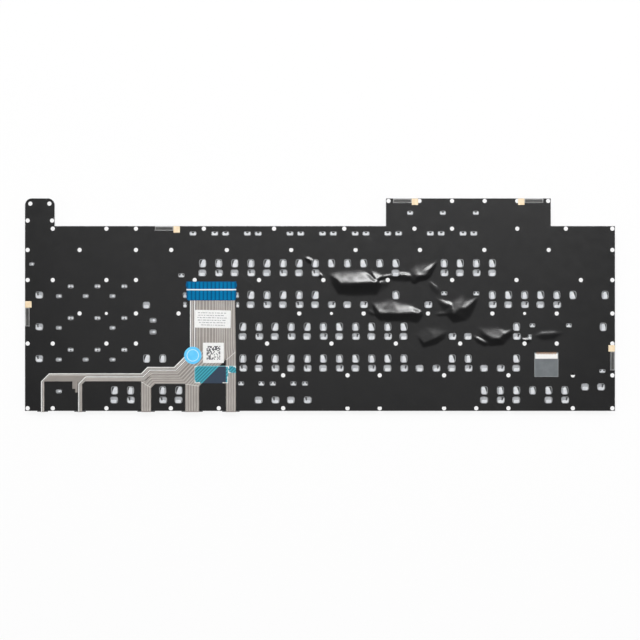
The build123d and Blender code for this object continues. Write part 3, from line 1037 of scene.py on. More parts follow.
@dataclass
class BackFilm:
    """The creased black film with its windows and stake holes."""

    thickness: float = 0.08
    fine_step: float = 0.55
    coarse_step: float = 5.0
    margin: float = 3.0
    sink: float = 0.03
    cut: float = 8.0
    smooth: float = 28.0
    fine_x: Point2 = (-14.0, 152.0)
    fine_y: Point2 = (-26.0, 31.0)
    most: float = 1.28
    crumple: float = 0.07
    slack: float = 0.015
    folds: tuple[Fold, ...] = (
        Fold.along(((-9.8, 28.2, 0), (-7.2, 27.3, 0.5), (-5.0, 26.2, 0.5), (-2.6, 25.2, 0)), 1.6, 2.2),
        Fold.along(((-2.4, 19.6, 0), (-0.4, 18.2, 0.5), (1.2, 17.0, 0.5), (3.0, 15.6, 0)), 1.6, 1.8),
        Fold(
            (
                (4.4, 18.9), (12.6, 21.0), (20.5, 21.4), (25.4, 21.0), (28.8, 21.8), (39.0, 18.3), (41.2, 15.4),
                (40.8, 10.0), (33.6, 5.4), (20.0, 4.8), (10.4, 5.8), (5.8, 13.0),
            ),
            (
                (
                    (4.4, 18.9, 0), (10.4, 14.9, 0.9), (12.4, 12.6, 1.12), (21.0, 12.9, 1.22), (32.6, 13.4, 1.28),
                    (36.2, 13.1, 0.5), (40.2, 13.5, 0.35),
                ),
                ((20.5, 21.4, 0), (32.6, 13.4, 1.28), (25.4, 21.0, 0), (31.4, 15.8, 0.3), (28.8, 21.8, 0)),
                ((28.8, 21.8, 0), (33.3, 14.5, 1.06), (39.0, 18.3, 0)),
                ((35.4, 15.0, 0.1), (39.4, 15.3, 0.1)),
            ),
            0.4,
        ),
        Fold.along(
            ((33.8, 14.2, 0), (35.8, 16.0, 0.3), (38.4, 16.9, 0.34), (41.0, 17.3, 0.34), (43.6, 17.6, 0)),
            1.3,
            1.5,
        ),
        Fold(
            (
                (39.8, 16.4), (41.5, 18.4), (44.5, 19.7), (49.0, 19.9), (53.0, 19.3), (55.6, 16.6), (55.6, 13.6),
                (49.5, 13.4), (43.0, 13.8),
            ),
            (((39.8, 16.4, 0), (43.4, 17.7, 0.44), (48.6, 18.0, 0.5), (53.2, 17.2, 0.48), (55.0, 15.4, 0.15)),),
        ),
        Fold(
            (
                (51.6, 18.4), (52.8, 21.4), (55.9, 24.0), (61.2, 25.4), (66.4, 27.0), (70.4, 26.9), (68.6, 22.6),
                (66.0, 17.5), (62.5, 14.6), (58.5, 13.8), (55.6, 12.4), (53.4, 14.6),
            ),
            (
                (
                    (70.4, 26.9, 0), (65.6, 21.9, 0.62), (62.4, 17.3, 0.9), (57.8, 16.9, 0.85), (55.7, 13.9, 0.5),
                    (51.6, 18.4, 0),
                ),
                ((60.2, 19.9, 0.5), (65.8, 24.4, 0.12)),
            ),
        ),
        Fold.along(((63.6, 14.0, 0), (66.0, 12.6, 0.28), (69.0, 10.2, 0.28), (71.8, 6.8, 0)), 2.0, 5.0),
        Fold(
            (
                (30.1, 2.4), (34.6, 2.4), (41.7, 4.2), (47.7, 1.8), (52.0, 1.0), (54.6, 0.6), (57.4, 5.2),
                (59.6, 0.8),
                (60.8, -3.2), (61.4, -6.0), (58.0, -11.0), (46.0, -9.6), (36.0, -9.4), (32.0, -5.6),
            ),
            (
                ((30.1, 2.4, 0), (35.2, -5.2, 1.06), (47.0, -5.1, 1.06), (57.1, -4.8, 0.9), (60.8, -3.2, 0)),
                ((47.7, 1.8, 0), (57.1, -4.8, 0.9), (52.0, 1.0, 0), (55.4, -1.2, 0.2), (57.4, 5.2, 0)),
            ),
        ),
        Fold.along(((27.6, -2.2, 0), (29.4, -3.7, 0.22), (31.6, -4.7, 0.22), (34.0, -5.2, 0)), 1.4, 2.0),
        Fold(
            (
                (67.4, 4.8), (72.0, 4.0), (77.6, 2.7), (81.0, 4.6), (84.6, 6.8), (88.3, 3.8), (94.2, 5.4),
                (93.4, 2.0),
                (91.0, -3.8), (88.0, -9.0), (79.0, -11.0), (73.0, -4.6), (69.6, 1.0),
            ),
            (
                (
                    (67.4, 4.8, 0), (72.4, 1.6, 0.44), (77.8, -0.3, 0.62), (79.1, -5.0, 0.9), (82.6, -1.9, 0.85),
                    (86.2, -1.9, 0.8), (90.0, 1.5, 0.46), (94.2, 5.4, 0),
                ),
                ((77.6, 2.7, 0), (79.1, -5.0, 0.9)),
                ((84.6, 6.8, 0), (82.6, -1.9, 0.85)),
                ((88.3, 3.8, 0), (86.2, -1.9, 0.8)),
            ),
        ),
        Fold.along(((67.5, -5.0, 0), (70.5, -5.2, 0.2), (74.5, -4.8, 0.2), (77.5, -4.6, 0)), 1.6, 1.6),
        Fold(
            ((56.5, -16.5), (62.0, -12.6), (70.0, -12.8), (76.2, -15.2), (75.0, -19.0), (68.5, -23.5), (61.0, -25.4)),
            (((61.2, -22.4, 0.48), (68.2, -19.6, 0.64), (76.2, -15.2, 0)),),
        ),
        Fold(
            (
                (92.6, -12.2), (98.0, -12.8), (104.4, -12.6), (110.0, -14.4), (115.6, -13.8), (114.6, -17.4),
                (109.0, -23.4), (100.0, -24.4), (95.0, -18.6),
            ),
            (
                (
                    (92.6, -12.2, 0), (97.4, -17.2, 0.5), (101.8, -20.0, 0.88), (106.6, -20.0, 0.88),
                    (109.2, -17.2, 0.56), (115.6, -13.8, 0),
                ),
                ((110.0, -14.4, 0), (109.2, -17.2, 0.56)),
            ),
        ),
        Fold.along(((89.4, -17.4, 0), (93.0, -19.7, 0.42), (97.6, -22.0, 0.42), (101.4, -23.2, 0)), 1.4, 2.6),
        Fold.along(
            ((118.0, -19.4, 0), (120.0, -20.6, 0.48), (121.6, -21.0, 0.5), (123.2, -20.6, 0.48), (125.0, -19.4, 0)),
            1.5,
            1.5,
        ),
        Fold.along(((126.0, -18.2, 0), (131.0, -17.2, 0.32), (138.0, -16.8, 0.3), (144.4, -16.6, 0)), 2.1, 4.0),
        Fold.along(((95.0, -58.4, 0), (108.0, -58.0, 0.26), (130.0, -59.4, 0.22), (142.0, -59.8, 0)), 1.2, 1.2),
    )

    def height(self, x: np.ndarray, y: np.ndarray) -> np.ndarray:
        """How far the film stands up at each place, with small crumples on the folds."""
        lift = np.zeros_like(x)
        for fold in self.folds:
            lift = np.maximum(lift, fold.lift(x, y))
        creased = lift * (1 + self.crumple * self.wander(x, y, (0.3, 0.34), 0.7))
        return np.minimum(creased, self.most) + self.slack * (self.wander(x, y, (0.05, 0.06), 3.1) + 1)

    @staticmethod
    def wander(x: np.ndarray, y: np.ndarray, scale: Point2, level: float) -> np.ndarray:
        """A slow noise over the sheet, from -1 to 1."""
        return np.array([noise.noise((a * scale[0], b * scale[1], level)) for a, b in zip(x, y)])

    @staticmethod
    def eased(heights: np.ndarray) -> np.ndarray:
        """Rounds the creases by a step of the grid."""
        for axis in (0, 1):
            padded = np.pad(heights, [(1, 1) if a == axis else (0, 0) for a in (0, 1)], mode="edge")
            last = padded.shape[axis]
            ahead, behind = np.take(padded, range(2, last), axis), np.take(padded, range(last - 2), axis)
            heights = heights * 0.5 + (ahead + behind) * 0.25
        return heights

    def lines(self, low: float, high: float, fine: Point2) -> np.ndarray:
        """Grid lines, close together in the creased part."""
        rough = np.arange(low, high + self.coarse_step, self.coarse_step)
        close = np.arange(fine[0], fine[1], self.fine_step)
        rough = rough[(rough < fine[0] - 0.3) | (rough > fine[1] + 0.3)]
        return np.sort(np.concatenate([rough, close]))

    def sheet(self, layout: Layout, z: float) -> bpy.types.Mesh:
        """A closed creased sheet, larger than the outline.

        Args:
            layout: Gives the outline.
            z: Height of the flat film's top.

        Returns:
            Its mesh.
        """
        outline = np.array(layout.outline)
        low, high = outline.min(0) - self.margin, outline.max(0) + self.margin
        xs, ys = self.lines(low[0], high[0], self.fine_x), self.lines(low[1], high[1], self.fine_y)
        gx, gy = (g.ravel() for g in np.meshgrid(xs, ys))
        top = z - self.sink + self.eased(self.height(gx, gy).reshape(len(ys), len(xs))).ravel()
        count, wide = len(gx), len(xs)
        points = np.concatenate([np.stack([gx, gy, up], 1) for up in (top, top - self.thickness)]) * MM
        faces = []
        for row in range(len(ys) - 1):
            for column in range(wide - 1):
                a = row * wide + column
                quad = (a, a + 1, a + wide + 1, a + wide)
                faces.append(quad)
                faces.append(tuple(count + i for i in reversed(quad)))
        rim = list(range(wide)) + [r * wide + wide - 1 for r in range(1, len(ys))]
        rim += [count - 1 - i for i in range(1, wide)] + [r * wide for r in range(len(ys) - 2, 0, -1)]
        for a, b in zip(rim, rim[1:] + rim[:1]):
            faces.append((a, a + count, b + count, b))
        made = bpy.data.meshes.new("film_sheet")
        made.from_pydata(points.tolist(), [], faces)
        return made

    def build(self, shop: Workshop, layout: Layout) -> None:
        """Makes the film and puts it over the stack."""
        low, high = millimetres("back_film")
        z = low.z + self.thickness
        rim = Shape().prism(layout.outline, low.z - self.cut / 2, high.z + self.cut / 2).mesh("film_rim")
        sheet = shop.trimmed("film_trimmed", self.sheet(layout, z), rim, FILM)
        rounds = []
        for x, y in layout.holes:
            size = layout.hole_size(x, y) * MM
            rounds.append(Mark((x, y, z), (size, size, self.cut * MM)))
        windows = [Mark((w.x, w.y, z), (w.width * MM, w.depth * MM, self.cut * MM)) for w in layout.windows]
        mesh = shop.punched("back_film_dressed", sheet, rounds, windows, FILM)
        piece("back_film_dressed", mesh, FILM, ["back_film"], smooth=self.smooth)


@dataclass
class SheetStack:
    """Light guide, plate and membrane under the film, punched as the real ones are."""

    hole: float = 2.5
    window_rim: float = 0.25

    def build(self, shop: Workshop, layout: Layout) -> None:
        """Makes the three sheets."""
        for node, finish, has_windows in (
            ("light_guide", GUIDE, True),
            ("support_plate", PLATE, True),
            ("switch_membrane", SHEET, False),
        ):
            low, high = millimetres(node)
            top = high.z if node != "switch_membrane" else millimetres("support_plate")[0].z
            middle, reach = (low.z + top) / 2, top - low.z + 0.1
            span = (self.hole * MM, self.hole * MM, reach * MM)
            rounds = [Mark((x, y, middle), span) for x, y in layout.holes]
            windows = []
            for w in layout.windows if has_windows else ():
                wide, deep = w.width - 2 * self.window_rim, w.depth - 2 * self.window_rim
                windows.append(Mark((w.x, w.y, middle), (wide * MM, deep * MM, reach * MM)))
            body = joined_copy(node)
            sheet = bpy.data.meshes.new(node + "_sheet")
            body.to_mesh(sheet)
            body.free()
            mesh = shop.punched(node + "_dressed", sheet, rounds, windows, finish)
            if not has_windows:
                mesh.materials.append(RIBBON.build())
                for face in mesh.polygons:
                    face.material_index = int(face.center.z > (top + 0.02) * MM)
            piece(node + "_dressed", mesh, finish, [node])


@dataclass(frozen=True)
class Foot:
    """A foot of unit size: a white outline, and a lower outline where it has a step, coloured grey as painted shade.
    """

    white: tuple[Point2, ...]
    grey: tuple[Point2, ...] = ()

    def mirrored(self) -> "Foot":
        """The same foot with left and right exchanged."""
        white, grey = (tuple((-x, y) for x, y in reversed(side)) for side in (self.white, self.grey))
        return Foot(white, grey)


class FootKind(Enum):
    """The feet of the scissor links and the plate's hooks, by their outline in the window."""

    ARCH = Foot(
        (
            (-0.4, -0.44), (0.22, -0.44), (0.33, -0.36), (0.33, -0.2), (0.2, 0.06), (0.1, 0.3), (0.0, 0.41),
            (-0.26, 0.41), (-0.4, 0.3),
        )
    )
    POST = Foot(
        ((-0.22, -0.44), (0.24, -0.44), (0.34, -0.36), (0.34, -0.06), (0.26, 0.12), (0.22, 0.3), (0.12, 0.38),
         (-0.12, 0.38), (-0.22, 0.24)),
        ((-0.42, -0.36), (-0.3, -0.44), (-0.2, -0.44), (-0.2, 0.28), (-0.32, 0.34), (-0.42, 0.22)),
    )
    SHELF = Foot(
        ((-0.28, -0.44), (0.24, -0.44), (0.34, -0.32), (0.34, -0.08), (0.08, 0.04), (-0.2, -0.02),
         (-0.4, 0.06), (-0.4, -0.28)),
        ((-0.4, -0.12), (0.42, -0.12), (0.42, 0.26), (0.28, 0.42), (-0.28, 0.42), (-0.4, 0.26)),
    )
    NICKED = Foot(
        (
            (-0.28, -0.44), (0.26, -0.44), (0.38, -0.32), (0.38, -0.1), (0.02, 0.02), (-0.1, -0.06), (-0.24, -0.08),
            (-0.31, 0.04), (-0.33, 0.26), (-0.42, 0.24), (-0.42, -0.28),
        ),
        ((-0.06, -0.14), (0.42, -0.14), (0.42, 0.24), (0.28, 0.4), (-0.08, 0.4), (-0.1, 0.2)),
    )
    OVAL = Foot(
        ((0.0, -0.28), (0.26, -0.24), (0.36, 0.0), (0.26, 0.24), (0.0, 0.28), (-0.06, 0.0)),
        ((-0.28, -0.3), (0.28, -0.3), (0.42, -0.1), (0.42, 0.1), (0.28, 0.3), (-0.28, 0.3), (-0.42, 0.1),
         (-0.42, -0.1)),
    )
    BOW = Foot(
        (
            (-0.42, 0.0), (-0.34, -0.28), (-0.18, -0.32), (-0.06, -0.06), (0.06, -0.06), (0.18, -0.32), (0.34, -0.28),
            (0.42, 0.0), (0.34, 0.26), (0.16, 0.3), (0.05, 0.18), (-0.05, 0.18), (-0.16, 0.3), (-0.34, 0.26),
        )
    )
    CLEFT = Foot(
        (
            (-0.4, -0.36), (0.4, -0.36), (0.43, 0.0), (0.38, 0.36), (0.24, 0.34), (0.12, 0.04), (-0.12, 0.04),
            (-0.24, 0.34), (-0.38, 0.36), (-0.43, 0.0),
        )
    )
    TEE = Foot(
        (
            (-0.36, -0.4), (-0.1, -0.36), (0.1, -0.36), (0.36, -0.4), (0.4, -0.1), (0.15, 0.04), (0.12, 0.36),
            (-0.12, 0.36), (-0.15, 0.04), (-0.4, -0.1),
        )
    )


@dataclass
class LinkFeet:
    """White feet of the scissor links that show in the windows."""

    drop: float = 0.1
    step_drop: float = 0.12
    depth: float = 0.7
    pad_edge: float = -95.0
    top_row: float = 35.0

    @staticmethod
    def block(outline: Sequence[Point2], top: float) -> Shape:
        """A foot of unit size with a softened top, from its outline."""
        unit = 1 / MM
        rings = []
        for z, scale in ((-1.0, 1.0), (top - 0.15, 1.0), (top, 0.93)):
            rings.append([(x * scale * unit, y * scale * unit, z * unit) for x, y in outline])
        return Shape().stack(rings)

    def kind(self, window: Window, layout: Layout) -> FootKind:
        """The foot that shows in a window."""
        left = window.x < layout.nearest_key(window.x, window.y).x
        if window.kind is WindowKind.UPPER:
            return FootKind.ARCH if left else FootKind.POST
        if window.kind is WindowKind.LOWER:
            return FootKind.SHELF if left else FootKind.NICKED
        if window.x < self.pad_edge:
            return FootKind.OVAL if left else FootKind.BOW
        return FootKind.CLEFT if window.y > self.top_row else FootKind.TEE

    def build(self, shop: Workshop, layout: Layout) -> None:
        """Sets a foot in every window; their steps face away from the board's middle."""
        top = millimetres("light_guide")[1].z - self.drop
        sets: dict[tuple[FootKind, bool], list[Mark]] = {}
        for w in layout.windows:
            mark = Mark((w.x, w.y, top), (w.width * MM, w.depth * MM, self.depth * MM))
            kind = self.kind(w, layout)
            turned = w.x < 0 if kind in (FootKind.ARCH, FootKind.POST) else w.x > 0
            sets.setdefault((kind, turned), []).append(mark)
        for (kind, turned), marks in sets.items():
            foot = kind.value.mirrored() if turned else kind.value
            name = f"link_feet_{kind.name.lower()}" + ("_turned" if turned else "")
            piece(name, shop.repeat(name, self.block(foot.white, 0.0), marks, FOOT), FOOT)
            # The step gets the grey finish: painted shade on the deeper part of the foot.
            if foot.grey:
                step = shop.repeat(name + "_step", self.block(foot.grey, -self.step_drop), marks, STEP_SHADE)
                piece(name + "_step", step, STEP_SHADE)


@dataclass
class Keys:
    """Keycaps, domes and scissor links."""

    wall: float = 1.0
    roof: float = 0.9
    corner: float = 1.3
    lean: float = 0.7
    dish: float = 0.16
    clearance: float = 0.1
    frames: tuple[tuple[float, int], ...] = ((5.6, 1), (4.3, -1))
    bar: float = 0.55
    bar_width: float = 1.0
    frame_share: float = 0.36
    longest_frame: float = 5.4
    cap_gap: float = 0.4
    plate_gap: float = 0.35
    half_bar: float = 0.3
    spare: float = 0.01
    cap_smooth: float = 30.0
    dome_smooth: float = 40.0
    round_key: str = "key_power"
    round_corner: float = 5.2
    round_share: float = 0.58
    dome_levels: tuple[tuple[float, float], ...] = (
        (0.0, 3.3), (0.12, 3.3), (0.3, 2.7), (1.5, 2.25), (2.2, 1.9), (2.6, 1.5), (3.1, 1.4), (3.28, 1.25)
    )

    def cap(self, key: KeySpot, height: float) -> Shape:
        """A hollow keycap with a dished touch face and soft edges.

        Args:
            key: Its place and size at the skirt.
            height: From the touch face to the skirt.

        Returns:
            Its shape.
        """
        rings = []
        extra = self.round_corner - self.corner if key.node == self.round_key else 0.0

        def ring(z: float, inset: float, radius: float) -> None:
            """Adds one loop of the cap at a height, in from its skirt."""
            size = (key.width - 2 * inset, key.depth - 2 * inset)
            radius = max(radius, min(radius + extra, min(size) / 2 - 0.1))
            loop = rounded_rectangle((key.x, key.y), size, radius, 4)
            rings.append([(x, y, z) for x, y in loop])

        ring(self.dish, self.lean + 4.2, 0.5)
        ring(self.dish * 0.6, self.lean + 2.2, 0.9)
        ring(0.0, self.lean + 0.45, self.corner)
        ring(0.05, self.lean + 0.18, self.corner)
        ring(0.3, self.lean * 0.92, self.corner)
        ring(height, 0.0, self.corner)
        ring(height, self.wall, self.corner * 0.6)
        ring(self.roof, self.wall + self.lean * 0.6, self.corner * 0.5)
        return Shape().stack(rings)

    def share(self, key: KeySpot) -> float:
        """How much of their usual width a key's dome and links have room for."""
        return self.round_share if key.node == self.round_key else 1.0

    def dome(self, key: KeySpot, foot: float) -> Shape:
        """A round silicone dome with a flange and a waist, standing down from the membrane."""
        rings = [
            [(x, y, foot - drop) for x, y in circle((key.x, key.y), radius * self.share(key), 14)]
            for drop, radius in self.dome_levels
        ]
        return Shape().stack(rings)

    def links(self, key: KeySpot, low: float, high: float) -> Shape:
        """Two crossed frames under a key, one inside the other.

        Args:
            key: Its place and size.
            low: Height of the ends at the cap.
            high: Height of the ends at the plate.

        Returns:
            Their shape.
        """
        shape = Shape()
        share = self.share(key)
        half_y = min(key.depth * self.frame_share, self.longest_frame) * share
        bar, wide = self.bar, self.bar_width * share

        def lean_bar(x0: float, x1: float, rises: int) -> None:
            """Adds one slanted side of a frame."""
            ends = [(-half_y, low if rises > 0 else high), (half_y, high if rises > 0 else low)]
            loops = []
            for x in (x0, x1):
                (ya, za), (yb, zb) = ends
                loop = [(ya, za - bar / 2), (yb, zb - bar / 2), (yb, zb + bar / 2), (ya, za + bar / 2)]
                loops.append([(key.x + x, key.y + y, z) for y, z in loop])
            shape.stack(loops)

        for full, rises in self.frames:
            reach = full * share
            lean_bar(-reach, -reach + wide, rises)
            lean_bar(reach - wide, reach, rises)
            for end in (-1, 1):
                z = high if end == rises else low
                y = key.y + end * half_y
                shape.slab((key.x, y), (2 * reach, wide), z - bar / 2, z + bar / 2, 0.2)
        return shape

    def build(self, layout: Layout) -> None:
        """Makes every key; those with a body of their own get a dome and links of their own."""
        foot = millimetres("switch_membrane")[0].z
        height = millimetres("key_q")[1].z
        travel = {joint["name"]: joint["range_m"][1] / MM for joint in frame["joints"]}
        low, high = self.roof + self.clearance + self.cap_gap, foot - self.plate_gap
        still: dict[str, Shape] = {}
        still_domes, still_links = Shape(), Shape()
        domes: list[bpy.types.Object] = []
        for key in layout.keys:
            if not key.moves:
                merge(still.setdefault(key.node, Shape()), self.cap(key, height))
                merge(still_domes, self.dome(key, foot))
                merge(still_links, self.links(key, low, high))
                continue
            name = key.node.removeprefix("key_")
            piece(f"cap_{name}", self.cap(key, height), CAP, [key.node], key.node, self.cap_smooth)
            domes.append(piece(f"dome_{name}", self.dome(key, foot), RUBBER, smooth=self.dome_smooth))
            tall = self.dome_levels[-1][0]
            flat = (tall - travel[key.joint]) / tall - self.spare
            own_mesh(domes[-1], key.joint, (0, 0, 1), (key.x * MM, key.y * MM, foot * MM), flat)
            arms = piece(f"links_{name}", self.links(key, low, high), LINK)
            tall = foot - low + self.half_bar
            flat = (tall - travel[key.joint]) / tall - self.spare
            key.joint
            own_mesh(arms)
        for node, shape in still.items():
            piece(node + "_dressed", shape, CAP, [node], smooth=self.cap_smooth)
        piece("domes_dressed", still_domes, RUBBER, ["rubber_domes"], smooth=self.dome_smooth)
        piece("links_dressed", still_links, LINK)


def merge(into: Shape, other: Shape) -> None:
    """Adds one shape's faces to another."""
    start = len(into.points)
    into.points.extend(other.points)
    into.faces.extend(tuple(start + i for i in face) for face in other.faces)


@dataclass(frozen=True)
class Bundle:
    """Tracks between two guides, from a tail to the ribbon's end, as distances from the edges."""

    left: tuple[Point2, ...]
    right: tuple[Point2, ...]
    count: int

    def lines(self, origin: Point2) -> list[list[Point2]]:
        """The paths of its tracks.

        Args:
            origin: The corner from which the guides are measured.

        Returns:
            One path for each track.
        """
        paths = []
        for i in range(self.count):
            share = (i + 0.5) / self.count
            path = []
            for (ax, ay), (bx, by) in zip(self.left, self.right):
                path.append((origin[0] + ax + (bx - ax) * share, origin[1] + ay + (by - ay) * share))
            paths.append(path)
        return paths


@dataclass
class Ribbon:
    """The printed ribbon on the back, and what is stuck on it."""

    bundles: tuple[Bundle, ...] = (
        Bundle(
            ((10.5, 0), (10.5, 17.9), (14.4, 21.5), (69.2, 21.5), (73.2, 25.3), (88.6, 25.3), (98.5, 35.4),
             (98.5, 71)),
            ((11.4, 0), (11.4, 17.6), (14.8, 20.7), (69.6, 20.7), (73.6, 24.6), (89.0, 24.6), (99.8, 35.4),
             (99.8, 71)),
            1,
        ),
        Bundle(
            ((32.5, 0), (32.5, 16.4), (35.6, 19.6), (70.2, 19.6), (74.3, 23.6), (89.6, 23.6), (101.2, 35.6),
             (101.2, 71)),
            ((33.8, 0), (33.8, 15.9), (35.8, 17.7), (71.2, 17.7), (75.4, 21.6), (90.6, 21.6), (104.2, 35.8),
             (104.4, 71)),
            2,
        ),
        Bundle(
            ((69.0, 0), (69.0, 16.9), (73.6, 21.2), (90.8, 21.2), (104.6, 35.8), (104.8, 71)),
            ((74.6, 0), (74.6, 13.7), (77.0, 16.2), (95.6, 16.2), (112.0, 34.4), (112.2, 71)),
            4,
        ),
        Bundle(
            ((95.1, 0), (95.1, 15.6), (112.2, 34.0), (112.4, 71)),
            ((103.0, 0), (103.0, 14.8), (118.8, 31.0), (118.4, 71)),
            5,
        ),
        Bundle(
            ((119.2, 0), (119.2, 31.0), (118.8, 36.0), (118.8, 71)),
            ((124.8, 0), (124.8, 35.5), (124.4, 38.0), (124.2, 71)),
            4,
        ),
    )
    white_lines: tuple[tuple[Point2, ...], ...] = (
        ((9.95, -0.4), (9.95, 17.4), (14.45, 21.9), (68.95, 21.9), (72.75, 25.7), (88.45, 25.7), (98.1, 35.4),
         (98.1, 71)),
        ((31.95, -0.4), (31.95, 16.0), (36.0, 20.1), (69.9, 20.1), (74.0, 24.1), (89.3, 24.1), (100.5, 35.4),
         (100.5, 71)),
    )
    joints: tuple[tuple[Point2, ...], ...] = (
        ((119.2, 30.2), (124.7, 35.0)),
        ((69.0, 17.2), (74.5, 13.9)),
        ((95.0, 15.9), (103.0, 14.7)),
    )
    track_width: float = 0.85
    ink: float = 0.016
    sheet: float = 0.15
    stub: tuple[tuple[Point2, Point2], ...] = (((29.05, 15.4), (1.7, 4.6)), ((30.55, 14.2), (1.3, 6.6)))

    def build(self, shop: Workshop, origin: Point2) -> None:
        """Makes the ribbon, its tracks and its two white lines."""
        top = millimetres("switch_membrane")[1].z
        shape = Shape()
        for middle, size in self.stub:
            shape.slab((origin[0] + middle[0], origin[1] + middle[1]), size, top - self.sheet, top, 0.1)
        piece("ribbon_stub", shape, RIBBON)
        lines = [line for bundle in self.bundles for line in bundle.lines(origin)]
        tracks = shop.traced("ribbon_tracks", lines, top + 0.002, self.track_width, self.ink, TRACK)
        piece("ribbon_tracks", tracks, TRACK)
        for name, paths, width, lift, finish in (
            ("ribbon_borders", self.white_lines, 1.05, 0.006, DARK_INK),
            ("ribbon_lines", self.white_lines, 0.62, 0.012, WHITE_INK),
            ("ribbon_joints", self.joints, 0.22, 0.01, WHITE_INK),
        ):
            placed = [[(origin[0] + x, origin[1] + y) for x, y in path] for path in paths]
            piece(name, shop.traced(name, placed, top + lift, width, self.ink, finish), finish)


@dataclass
class Stiffener:
    """The blue ribbed end of the ribbon, with its white line and ears."""

    rib_pitch: float = 2.35
    rib_width: float = 1.45
    line_up: float = 6.35
    line_width: float = 0.75
    shift: float = -0.6
    ear: float = 0.4
    ear_steps: tuple[float, ...] = (3.2, 2.9, 1.3, 1.0)
    chamfer: float = 1.0
    rib_sink: float = 0.06
    rib_height: float = 0.045

    def build(self, shop: Workshop) -> None:
        """Makes the blank, the ribs and the line."""
        low, high = millimetres("connector_stiffener")
        low.x, high.x = low.x + self.shift, high.x + self.shift
        cut, left, right = self.chamfer, low.x + self.ear, high.x - self.ear
        steps = [high.y - step for step in self.ear_steps]
        outline = [
            (left + cut, low.y), (right - cut, low.y), (right, low.y + cut),
            (right, steps[0]), (high.x, steps[1]), (high.x, steps[2]), (right, steps[3]),
            (right, high.y), (left, high.y),
            (left, steps[3]), (low.x, steps[2]), (low.x, steps[1]), (left, steps[0]),
            (left, low.y + cut),
        ]
        foot = high.z - self.rib_sink
        piece("stiffener_blank", Shape().prism(outline, low.z, foot), BLUE, ["connector_stiffener"])
        wide, deep = high.x - low.x, high.y - low.y
        count = int((wide - 1.2) / self.rib_pitch)
        first = (low.x + high.x) / 2 - self.rib_pitch * (count - 1) / 2
        rib = Shape().slab((0, 0), (self.rib_width, deep - 0.5), 0.0, self.rib_height, 0.3, 0.02)
        marks = [Mark((first + self.rib_pitch * i, (low.y + high.y) / 2, foot)) for i in range(count)]
        piece("stiffener_ribs", shop.repeat("stiffener_ribs", rib, marks, BLUE_RIB), BLUE_RIB)
        line = Shape().slab(
            ((low.x + high.x) / 2, low.y + self.line_up),
            (right - left, self.line_width),
            high.z - 0.02,
            high.z,
            0.1,
        )
        piece("stiffener_line", line, WHITE_INK)


